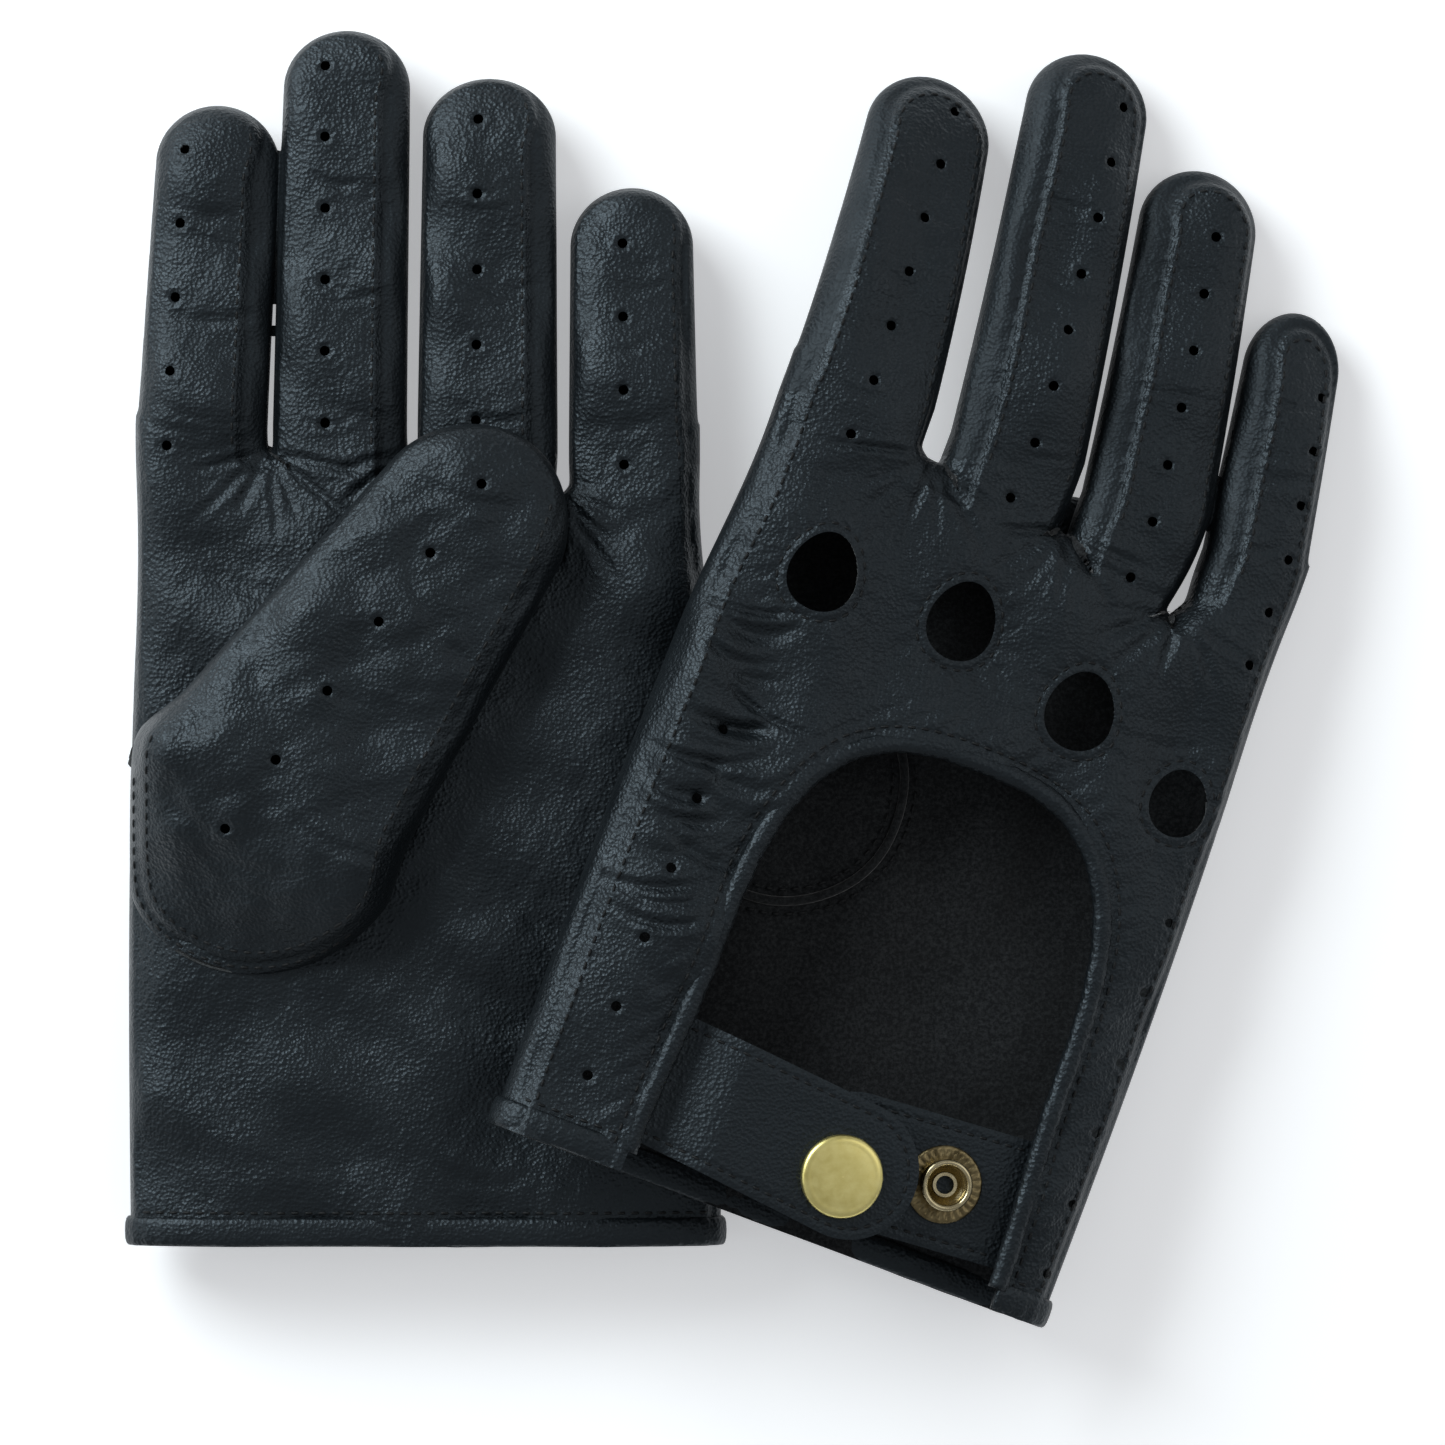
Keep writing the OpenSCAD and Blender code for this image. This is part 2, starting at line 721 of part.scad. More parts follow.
lay(RIGHT) palm_panel(RIGHT);  // right_palm_panel
lay(RIGHT) back_panel(RIGHT);  // right_back_panel
lay(RIGHT) fork_gussets(RIGHT);  // right_fork_gussets
lay(RIGHT) thumb_base(RIGHT);  // right_thumb_base
lay(RIGHT) hem_binding();  // right_hem_binding
lay(RIGHT) window_binding();  // right_window_binding
lay(RIGHT) cap_strap_root();  // right_cap_strap_root
lay(RIGHT) stud_strap();  // right_stud_strap
lay(RIGHT) snap_stud();  // right_snap_stud
lay(RIGHT) stud_eyelet();  // right_stud_eyelet
lay(RIGHT) finger_back(RIGHT, 0);  // right_index_back
lay(RIGHT) finger_palm(RIGHT, 0);  // right_index_palm
lay(RIGHT) finger_gussets(RIGHT, 0);  // right_index_gusset
lay(RIGHT) finger_back(RIGHT, 1);  // right_middle_back
lay(RIGHT) finger_palm(RIGHT, 1);  // right_middle_palm
lay(RIGHT) finger_gussets(RIGHT, 1);  // right_middle_gussets
lay(RIGHT) finger_back(RIGHT, 2);  // right_ring_back
lay(RIGHT) finger_palm(RIGHT, 2);  // right_ring_palm
lay(RIGHT) finger_gussets(RIGHT, 2);  // right_ring_gussets
lay(RIGHT) finger_back(RIGHT, 3);  // right_little_back
lay(RIGHT) finger_palm(RIGHT, 3);  // right_little_palm
lay(RIGHT) finger_gussets(RIGHT, 3);  // right_little_gusset
lay(RIGHT) thumb_front(RIGHT);  // right_thumb_front
lay(RIGHT) thumb_back(RIGHT);  // right_thumb_back
lay(RIGHT) cap_strap();  // right_cap_strap
lay(RIGHT) snap_cap();  // right_snap_cap
lay(RIGHT) snap_socket();  // right_snap_socket
lay(RIGHT) socket_spring();  // right_socket_spring
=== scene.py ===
"""Leather driving gloves, a pair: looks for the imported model.

Each glove is worked out in its own frame, in millimetres: u across the hand towards the little
finger, v from the hem to the fingertips, w out of the back of the hand. A leather face is a
height over the glove's flat outline, so every line on it (seams, punched holes, stitches) is
a distance from that outline.
"""

import json
import math

import bmesh
import bpy
import numpy as np
from mathutils import Matrix, Vector

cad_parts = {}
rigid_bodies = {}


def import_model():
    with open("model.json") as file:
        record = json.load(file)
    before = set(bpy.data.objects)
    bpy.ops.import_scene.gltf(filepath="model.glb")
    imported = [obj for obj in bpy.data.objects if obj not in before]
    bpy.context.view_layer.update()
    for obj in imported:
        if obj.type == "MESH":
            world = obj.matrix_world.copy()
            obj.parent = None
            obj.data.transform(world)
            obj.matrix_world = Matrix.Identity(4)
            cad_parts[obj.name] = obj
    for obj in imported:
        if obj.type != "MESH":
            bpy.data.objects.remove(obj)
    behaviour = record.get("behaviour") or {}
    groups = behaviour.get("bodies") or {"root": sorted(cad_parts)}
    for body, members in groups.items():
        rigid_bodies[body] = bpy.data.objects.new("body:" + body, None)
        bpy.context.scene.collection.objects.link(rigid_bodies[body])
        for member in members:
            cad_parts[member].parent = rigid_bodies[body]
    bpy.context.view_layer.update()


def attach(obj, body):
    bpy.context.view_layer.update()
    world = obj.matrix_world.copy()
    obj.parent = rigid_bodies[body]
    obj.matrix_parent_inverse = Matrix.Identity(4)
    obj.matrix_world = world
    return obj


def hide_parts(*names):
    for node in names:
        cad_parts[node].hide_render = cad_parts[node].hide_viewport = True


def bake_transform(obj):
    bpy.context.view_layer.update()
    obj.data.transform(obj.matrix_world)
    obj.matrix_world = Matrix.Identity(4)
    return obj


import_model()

MM = 0.001
GRID = 0.5  # spacing of the leather's mesh
SLOPE_STEP = 0.25  # distance over which a slope is measured
FINGERS = ("index", "middle", "ring", "little")
BACK, PALM = 1, -1

# ---- sizes shared by both gloves ---------------------------------------------------------------

LEATHER_T = 1.0
HAND_L = 152.0
LEFT_AT = (-57.66, -106.3)  # where each glove's hem centre lies in the row
RIGHT_AT = (6.14, -101.9, 28.3)
HEM_HALF_W, FOLD_HALF_W, HAND_BULGE = 55.2, 52.6, 1.4
HEM_HALF_T, FOLD_HALF_T, HAND_SWELL = 8.4, 6.8, 1.4
HAND_SINK = 1.4  # how far the hand's middle level falls from hem to fold
SECTION_POWER = 0.77  # roundness of a section: 1 is an ellipse, less is fuller
HAND_EDGE, FINGER_EDGE = 27.0, 11.5  # width over which the edge of the hand or finger rounds
ROOT_OVER = 2.0  # how far the hand's outline runs on past the outer fingers' folds
SWELL = 0.75  # how far the unfilled leather swells and sinks
TABLE_SOFT = 0.25  # how softly leather that touches the table flattens
TIP_L = 11.0
FOLD_FROM, FOLD_TO = -5.0, 6.0  # from the finger's fold: where its own leather starts, and a point just past the fold
SIDES_MEET, STRIPS_MEET = (100, 146), (118, 146)  # v over which the hand's sides become a finger's
EDGES_MEET = 150  # v below which the fingers' tight edges open into the hand's wide ones
FORK_SOFT = 0.9  # how softly the fingers' outlines run into the hand's
TOUCH_GAP = 0.9  # room between the thumb and the palm under it
PALM_LEVEL = 9.3
WINDOW_U, WINDOW_HALF_W, WINDOW_SPRING, WINDOW_TOP, WINDOW_POWER = 6.0, 35.5, 45.0, 94.0, 0.72
BINDING_R, HEM_ROLL = 1.7, 5.4
KNUCKLES = [
    (-34.5, 116.6, 6.5, 7.5),
    (-6.5, 117.4, 6.5, 7.5),
    (20.3, 109.7, 6.5, 7.5),
    (44.2, 100.3, 5.6, 6.4),
]
KNUCKLE_PUCKERS = 17  # gathers round each knuckle hole
PUNCH_R = 0.95
CROWDED = 5.0  # width of the edge in which the mesh is drawn closer together
STITCH_L, STITCH_PITCH, STITCH_R = 1.7, 2.5, 0.27
STITCH_FLAT = 0.75  # the thread lies pressed into the leather
STITCH_RAISE = 0.07
SEAM_INSET = 1.5  # from a seam to its row of stitches

CAP_AT, STUD_AT = (7.8, 13.3), (27.8, 18.6)
CAP_R, CAP_H = 7.75, 2.0
STUD_R, LIP_R, STUD_H, FLANGE_DIMPLES = 7.3, 4.85, 3.6, 28
STRAP_HALF, STRAP_END, STRAP_END_R = 12.3, (9.2, 15.0), 12.9
STRAP_LAYER, STRAP_FOLD_U, STRAP_ROOT_V = 0.95, -27.0, 20.8
STRAP_FOLD_LEVEL, STRAP_TOP_LEVEL, STUD_STRAP_LEVEL = 5.8, 9.4, 4.2
STRAP_FOLD_REACH, STRAP_LAYER_GAP = 4, 0.1
STUD_STRAP_TURN, STUD_STRAP_REACH = math.radians(4), 17.5

GLOVES = {
    "left": dict(
        fold=[(-41.8, 153), (-16, 153), (11.6, 153), (38.9, 151)],
        lean=[3, 1, 0.3, -0.5],
        length=[60.5, 74.5, 65.5, 47],
        half=[12, 12.4, 13, 12],
        taper=[0.7, 0.7, 0.7, 0.7],
        droop=[5, 5, 5, 5],
        fork=[148, 148, 140],
        thumb=dict(at=(-28, 79.5), l=85, half=26.5, t=7.4, seam_r=28.5, skew=-2.0, swell=2.5),
    ),
    "right": dict(
        fold=[(-37.8, 152), (-6.2, 152), (20.6, 151), (43.8, 149)],
        lean=[-3.4, -7.2, -8.4, -8.6],
        length=[61, 76, 64, 47],
        half=[14, 12.8, 12.2, 9.8],
        taper=[2.6, 1.4, 1.2, 1.0],
        droop=[-16, -11, -8, -3.5],
        fork=[144, 140, 133],
        thumb=dict(at=(-24, 79), l=82, half=21.5, t=4.8, seam_r=24.5, skew=0, swell=1.0),
    ),
}
THUMB_TURN = math.radians(35.3)
THUMB_TIP_HALF, THUMB_TIP_L, THUMB_BASE_T = 16.5, 17.0, 0.7
THUMB_FOLD_FROM, THUMB_FOLD_TO, THUMB_EDGE = -7.0, 11.0, 13.0

# Rows of punched holes: start and end as (along, across) from the finger's fold, and their count
PALM_ROWS = [
    ((-4, -6.2), (51.6, -5.8), 5),
    ((0.5, -2.5), (67.5, -3.9), 6),
    ((1, -2), (57.5, -2), 5),
    ((-5.2, -1.7), (36.3, -1.7), 4),
]
BACK_ROWS = [
    ((-9.7, -0.6), (55.4, 3.2), 7),
    ((-9.8, 0.6), (67.2, 5.8), 8),
    ((-14.4, 0.4), (51.7, 2.2), 7),
    ((-20.2, 4.2), (32.0, 5.6), 6),
]
THUMB_ROW = ((-5.9, -5.9), (73.4, -4.1), 6)
SIDE_ROWS = [((52.0, 9.7), (50.6, 78.9), 6), ((-43.0, 14.4), (-41.6, 82.8), 6)]

# Width of the side strip showing along each finger's low-u and high-u edge
STRIP_AT_TIP = {BACK: 2.2, PALM: 0}
STRIPS = {
    BACK: ([3.6, 5.6, 5.6, 5.2], [1.4, 1.4, 1.4, 1.6]),
    PALM: ([0, 0, 0, 0], [4.6, 4.8, 4.8, 2.4]),
}


def power(x, p):
    return np.sign(x) * np.abs(x) ** p


def smooth(x, low, high):
    t = np.clip((x - low) / (high - low), 0, 1)
    return t * t * (3 - 2 * t)


def soft_max(a, b, k):
    return 0.5 * (a + b + np.sqrt((a - b) ** 2 + k * k))


def bump(x, width):
    return np.exp(-((x / width) ** 2))


class Noise:
    """Soft random height from a few seeded waves, about -1 to 1."""

    waves = 14

    def __init__(self, seed, wavelength):
        rng = np.random.default_rng(seed)
        size = 2 * math.pi / (wavelength * rng.uniform(0.6, 1.7, self.waves))
        turn = rng.uniform(0, 2 * math.pi, self.waves)
        self.ku, self.kv = size * np.cos(turn), size * np.sin(turn)
        self.phase = rng.uniform(0, 2 * math.pi, self.waves)
        self.scale = 1.3 / math.sqrt(self.waves)

    def __call__(self, u, v):
        total = sum(np.sin(a * u + b * v + c) for a, b, c in zip(self.ku, self.kv, self.phase))
        return total * self.scale


def gradient(f, u, v):
    h = SLOPE_STEP
    return (f(u + h, v) - f(u - h, v)) / (2 * h), (f(u, v + h) - f(u, v - h)) / (2 * h)


def settle(f, u, v, level, rounds=5):
    """Move points along f's slope until f equals level."""
    for _ in range(rounds):
        gu, gv = gradient(f, u, v)
        miss = np.clip(level - f(u, v), -2.5, 2.5) / np.maximum(gu * gu + gv * gv, 0.2)
        u, v = u + gu * miss, v + gv * miss
    return u, v


# ---- outlines and heights of a glove -----------------------------------------------------------


def hand_half_width(v):
    swell = HAND_BULGE * np.sin(np.pi * np.clip(v / HAND_L, 0, 1))
    return HEM_HALF_W + (FOLD_HALF_W - HEM_HALF_W) * v / HAND_L + swell


def hand_half_height(v):
    t = np.clip(v / HAND_L, 0, 1)
    return HEM_HALF_T + (FOLD_HALF_T - HEM_HALF_T) * t + HAND_SWELL * np.sin(np.pi * t)


def rounding(depth, width):
    """Height, 0 to 1, of a face at this depth inside its outline, rounding off over width."""
    x = np.clip(depth / width, 0, 1)
    turn = np.arccos(np.clip((1 - x) ** (1 / SECTION_POWER), 0, 1))
    return np.sin(turn) ** SECTION_POWER


def drawn_out(depth, width):
    """Depth at which a mesh point is put so that the points are even round the edge."""
    turn = np.clip(depth / width, 0, 1) * math.pi / 2
    return np.where(depth < width, width * (1 - np.cos(turn) ** SECTION_POWER), depth)


def window_depth(u, v):
    """Depth inside the window over the wrist, from its arched outline."""
    top = WINDOW_TOP - WINDOW_SPRING
    half = WINDOW_HALF_W + 2 * smooth(WINDOW_SPRING - v, 0, WINDOW_SPRING)
    x = np.abs(u - WINDOW_U) / half
    y = np.maximum(v - WINDOW_SPRING, 0) / top
    reach = (x ** (2 / WINDOW_POWER) + y ** (2 / WINDOW_POWER)) ** (WINDOW_POWER / 2)
    return (1 - reach) * (half + (top - half) * np.clip(y, 0, 1))


def knuckle_depth(hole, u, v):
    cu, cv, a, b = hole
    x, y = (u - cu) / a, (v - cv) / b
    x = x * (1 + 0.12 * y)  # a little broader towards the wrist, like an egg
    return (1 - np.sqrt(x * x + y * y)) * a


class Leather:
    """What all leather faces share: creases pressed into them, holes punched out of them."""

    def __init__(self):
        self.creases = []
        self.punched = {BACK: [], PALM: []}

    def crease(self, face, at, angle, length, width, depth, bow=0.0):
        self.creases.append((face, at, math.radians(angle), length, width, depth, bow))

    def creased(self, face, u, v):
        total = np.zeros_like(u)
        for of_face, at, angle, length, width, depth, bow in self.creases:
            if of_face != face:
                continue
            du, dv = u - at[0], v - at[1]
            along = du * math.cos(angle) + dv * math.sin(angle)
            across = dv * math.cos(angle) - du * math.sin(angle) - bow * (along / length) ** 2
            fade = np.exp(-((along / length) ** 4))
            valley = bump(across, width) - 0.55 * bump(np.abs(across) - 1.7 * width, width)
            total -= depth * fade * valley
        return total

    def punch(self, face, points):
        self.punched[face] += points

    def punch_depth(self, face, u, v):
        depth = np.full_like(u, -9.0)
        for cu, cv in self.punched[face]:
            depth = np.maximum(depth, PUNCH_R - np.hypot(u - cu, v - cv))
        return depth

    def punch_relief(self, face, u, v):
        away = -self.punch_depth(face, u, v)
        return 0.16 * bump(away - 0.75, 0.55) - 0.25 * bump(away, 0.4)


class Glove(Leather):
    """The hand with its four fingers."""

    def __init__(self, side, seed):
        super().__init__()
        self.side = side
        g = GLOVES[side]
        self.thumb = g["thumb"]
        self.finger = [
            dict(
                at=g["fold"][i],
                lean=math.radians(g["lean"][i]),
                l=g["length"][i],
                half=g["half"][i],
                taper=g["taper"][i],
                droop=g["droop"][i],
            )
            for i in range(4)
        ]
        edges = [f["at"][0] for f in self.finger]
        self.fork_u = [(a + b) / 2 for a, b in zip(edges, edges[1:])]
        self.fork_v = g["fork"]
        first, last = self.finger[0]["at"], self.finger[-1]["at"]
        self.top_u = [first[0], *self.fork_u, last[0]]
        self.top_v = [first[1] + ROOT_OVER, *self.fork_v, last[1] + ROOT_OVER]
        self.swells = Noise(seed, 26)
        self.ripples = Noise(seed + 1, 7)
        self.rng = np.random.default_rng(seed + 2)

    def place(self, u, v, w):
        """From this glove's frame to the row's frame, in metres."""
        if self.side == "left":
            lift = STRAP_TOP_LEVEL + CAP_H
            points = np.stack([u + LEFT_AT[0], v + LEFT_AT[1], lift - w], axis=-1)
        else:
            turned = np.stack([u, v, w], axis=-1) @ RIGHT_TURN.T
            points = turned + np.array(RIGHT_AT)
        points[..., 2] = soft_max(points[..., 2], 0 * points[..., 2], TABLE_SOFT)
        return points * MM

    def on_finger(self, i, u, v):
        """Distance along and across finger i from its fold."""
        f = self.finger[i]
        du, dv = u - f["at"][0], v - f["at"][1]
        c, s = math.cos(f["lean"]), math.sin(f["lean"])
        along, across = du * s + dv * c, du * c - dv * s
        return along, across + np.minimum(along, 0) * s

    def off_finger(self, i, along, across):
        f = self.finger[i]
        c, s = math.cos(f["lean"]), math.sin(f["lean"])
        across = across - np.minimum(along, 0) * s
        return f["at"][0] + along * s + across * c, f["at"][1] + along * c - across * s

    def finger_depth(self, i, u, v):
        f = self.finger[i]
        s, r = self.on_finger(i, u, v)
        half = f["half"] - f["taper"] * np.clip(s, 0, f["l"]) / f["l"]
        tip = np.maximum(s - (f["l"] - TIP_L), 0) / TIP_L
        inside = (1 - np.sqrt((r / half) ** 2 + tip**2)) * half
        return inside - 0.01 * np.maximum(-s - 4, 0) ** 2

    def side_depth(self, u, v):
        """How far inside the hand's two sides, which meet the outer fingers' sides at the fold."""
        half = hand_half_width(v)
        to_finger = smooth(v, *SIDES_MEET)
        first, last = self.finger[0], self.finger[3]
        low = half + (first["half"] - first["at"][0] - half) * to_finger
        high = half + (last["half"] + last["at"][0] - half) * to_finger
        return np.minimum(u + low, high - u)

    def hand_depth(self, u, v):
        top = np.interp(u, self.top_u, self.top_v) - v
        return np.minimum(self.side_depth(u, v), top)

    def depth(self, u, v):
        """How far inside the whole outline a point is."""
        total = self.hand_depth(u, v)
        for i in range(4):
            total = soft_max(total, self.finger_depth(i, u, v), FORK_SOFT)
        return total

    def shares(self, u, v):
        """How much each finger owns a point: four shares that add up to 1."""
        depth = np.stack([self.finger_depth(i, u, v) for i in range(4)])
        share = np.exp((depth - depth.max(axis=0)) / 1.2)
        return share / share.sum(axis=0)

    def edge_width(self, u, v):
        halves = np.array([min(f["half"], FINGER_EDGE) for f in self.finger])
        finger = np.tensordot(halves, self.shares(u, v), axes=1) - 0.8
        return finger + (HAND_EDGE - finger) * smooth(EDGES_MEET - v, 0, 70)

    def middle(self, u, v):
        """Level halfway between the two faces."""
        level = -HAND_SINK * np.clip(v / HAND_L, 0, 1)
        share = self.shares(u, v)
        for i, f in enumerate(self.finger):
            s = np.clip(self.on_finger(i, u, v)[0] / f["l"], 0, 1)
            level = level + share[i] * f["droop"] * s**1.8
        return level

    def half_height(self, u, v):
        height = hand_half_height(v)
        share = self.shares(u, v)
        for i, f in enumerate(self.finger):
            s = np.clip(self.on_finger(i, u, v)[0] / f["l"], 0, 1)
            height = height - share[i] * 1.5 * s
        return height

    def strip(self, face, u, v):
        """Width of the side strip beside this point."""
        share = self.shares(u, v)
        low, high = STRIPS[face]
        width = 0
        for i, f in enumerate(self.finger):
            s, r = self.on_finger(i, u, v)
            side = smooth(r / f["half"], -0.5, 0.5)
            tip = smooth(s, f["l"] - 1.3 * TIP_L, f["l"])
            here = low[i] + (high[i] - low[i]) * side
            width = width + share[i] * (here + (STRIP_AT_TIP[face] - here) * tip)
        hand = smooth(v, *STRIPS_MEET)
        side = smooth(u, -20, 20)
        hand_width = 3.6 - 1.6 * side if face == BACK else 2.0 * side
        return hand_width + (width - hand_width) * hand

    def past_seam(self, face, u, v):
        return self.depth(u, v) - self.strip(face, u, v)

    def seam_relief(self, face, u, v):
        past = self.past_seam(face, u, v)
        panel = smooth(past, -0.3, 0.45)
        return 0.6 * panel - 0.4 * bump(past + 0.35, 0.5) + 0.3 * bump(past - 0.9, 0.6)

    def hole_relief(self, face, u, v):
        relief = self.punch_relief(face, u, v)
        if face == BACK:
            for hole in KNUCKLES:
                away = -knuckle_depth(hole, u, v)
                turn = np.arctan2(v - hole[1], u - hole[0])
                pucker = 0.75 + 0.25 * np.cos(KNUCKLE_PUCKERS * turn)
                relief = relief - 0.34 * pucker * bump(away - 1.5, 0.45)
                relief = relief + 0.22 * bump(away - 0.5, 0.5)
                relief = relief + 0.12 * np.cos(KNUCKLE_PUCKERS * turn) * bump(away - 3.4, 1.6)
            away = -window_depth(u, v)
            pucker = 0.7 + 0.3 * np.cos(1.9 * (u + v))
            relief = relief - 0.4 * pucker * bump(away - 2.6, 0.6)
            relief = relief + 0.14 * np.cos(1.1 * (v - u)) * bump(away - 5.5, 2.4)
        return relief

    def level(self, face, u, v):
        """w of this face's outside."""
        depth = np.maximum(self.depth(u, v), 0)
        height = self.half_height(u, v) * rounding(depth, self.edge_width(u, v))
        fade = smooth(depth, 0, 3)
        relief = self.seam_relief(face, u, v) * smooth(depth, 0, 1.2)
        relief = relief + self.hole_relief(face, u, v) + self.creased(face, u, v) * fade
        relief = relief + fade * (SWELL * self.swells(u, v + 40 * face) + 0.05 * self.ripples(u, v))
        return self.middle(u, v) + face * (height + relief)

    def cut(self, face, u, v):
        """Depth inside the nearest hole of this face."""
        depth = self.punch_depth(face, u, v)
        if face == BACK:
            depth = np.maximum(depth, window_depth(u, v))
            for hole in KNUCKLES:
                depth = np.maximum(depth, knuckle_depth(hole, u, v))
        return depth


class Thumb(Leather):
    """The thumb and the hood that joins it to the palm: s along it, r across it."""

    def __init__(self, glove, seed):
        super().__init__()
        self.glove = glove
        t = glove.thumb
        self.at, self.l, self.half, self.t = t["at"], t["l"], t["half"], t["t"]
        self.seam_r, self.skew, self.swell = t["seam_r"], t["skew"], t["swell"]
        self.swells = Noise(seed, 22)
        self.ripples = Noise(seed + 1, 6)

    def place(self, r, s, w):
        u, v = self.on_palm(r, s)
        return self.glove.place(u, v, w)

    def depth(self, r, s):
        along = np.clip(s / self.l, 0, 1)
        half = self.half + (THUMB_TIP_HALF - self.half) * along
        half = half + (self.seam_r - self.half) * smooth(-s, -12, 2)
        tip = np.maximum(s - (self.l - THUMB_TIP_L), 0) / THUMB_TIP_L
        base = np.maximum(-s, 0) / (self.seam_r + 2)
        x = (r - self.skew) / half
        inside = (1 - np.sqrt(x * x + tip**2 + base**2)) * half
        at_side = self.glove.side_depth(*self.on_palm(r, s)) + 4 * smooth(s, 18, 42)
        return -soft_max(-inside, -at_side, 1.5)

    def on_palm(self, r, s):
        c, d = math.cos(THUMB_TURN), math.sin(THUMB_TURN)
        return self.at[0] + r * c + s * d, self.at[1] - r * d + s * c

    def palm_height(self, r, s):
        """Height of the palm's plain leather under a point of the thumb."""
        u, v = self.on_palm(r, s)
        depth = np.maximum(self.glove.side_depth(u, v), 0)
        height = hand_half_height(v) * rounding(depth, HAND_EDGE)
        swell = SWELL * self.glove.swells(u, v + 40 * PALM) * smooth(depth, 0, 3)
        return height + swell + HAND_SINK * np.clip(v / HAND_L, 0, 1) + TOUCH_GAP

    def strip(self, r, s):
        """Width outside the seam: all round the base, then up the high-u side only."""
        beyond = smooth(s, -6, 10)
        side = smooth(r - self.skew, -4, 10)
        return 2.4 + (3.6 * side * smooth(self.l - s, 2, 14) - 2.4) * beyond

    def edge_level(self, r, s):
        """Height of the edge: on the palm at the base seam, half the thumb up beyond it."""
        free = PALM_LEVEL + self.t - 2 * np.clip(s / self.l, 0, 1) ** 2
        palm = self.palm_height(r, s)
        return palm + (free - palm) * smooth(s, -8, 24)

    def top_level(self, s):
        beyond = PALM_LEVEL + 2 * self.t - 2 * np.clip(s / self.l, 0, 1) ** 2
        beyond = beyond - 1.2 * smooth(s, 0.55 * self.l, self.l)
        rise = smooth(s, -self.seam_r - 6, 6)
        return PALM_LEVEL + (beyond - PALM_LEVEL) * rise + self.swell * bump(s + 4, 16)

    def level(self, face, r, s):
        depth = np.maximum(self.depth(r, s), 0)
        edge = self.edge_level(r, s)
        fade = smooth(depth, 0, 3)
        soft = fade * (0.5 * self.swells(r, s) + 0.1 * self.ripples(r, s))
        if face == PALM:
            past = depth - self.strip(r, s)
            relief = 0.4 * smooth(past, -0.3, 0.4) - 0.35 * bump(past + 0.2, 0.4)
            relief = relief + 0.28 * bump(past - 0.9, 0.6)
            relief = relief + self.punch_relief(PALM, r, s) + self.creased(PALM, r, s) * fade
            height = (self.top_level(s) - edge) * rounding(depth, THUMB_EDGE)
            return -(edge + height + relief * smooth(depth, 0, 1) + soft)
        under = np.maximum(edge - self.palm_height(r, s) + 0.3, 0)
        return -(edge - under * rounding(depth, THUMB_EDGE) + 0.4 * soft)

    def cut(self, face, r, s):
        return self.punch_depth(face, r, s)


# ---- meshes ------------------------------------------------------------------------------------


def rotation(axis, degrees):
    return np.array(Matrix.Rotation(math.radians(degrees), 3, axis))


RIGHT_TURN = rotation("Z", -21) @ rotation("Y", 11) @ rotation("X", -3.5)


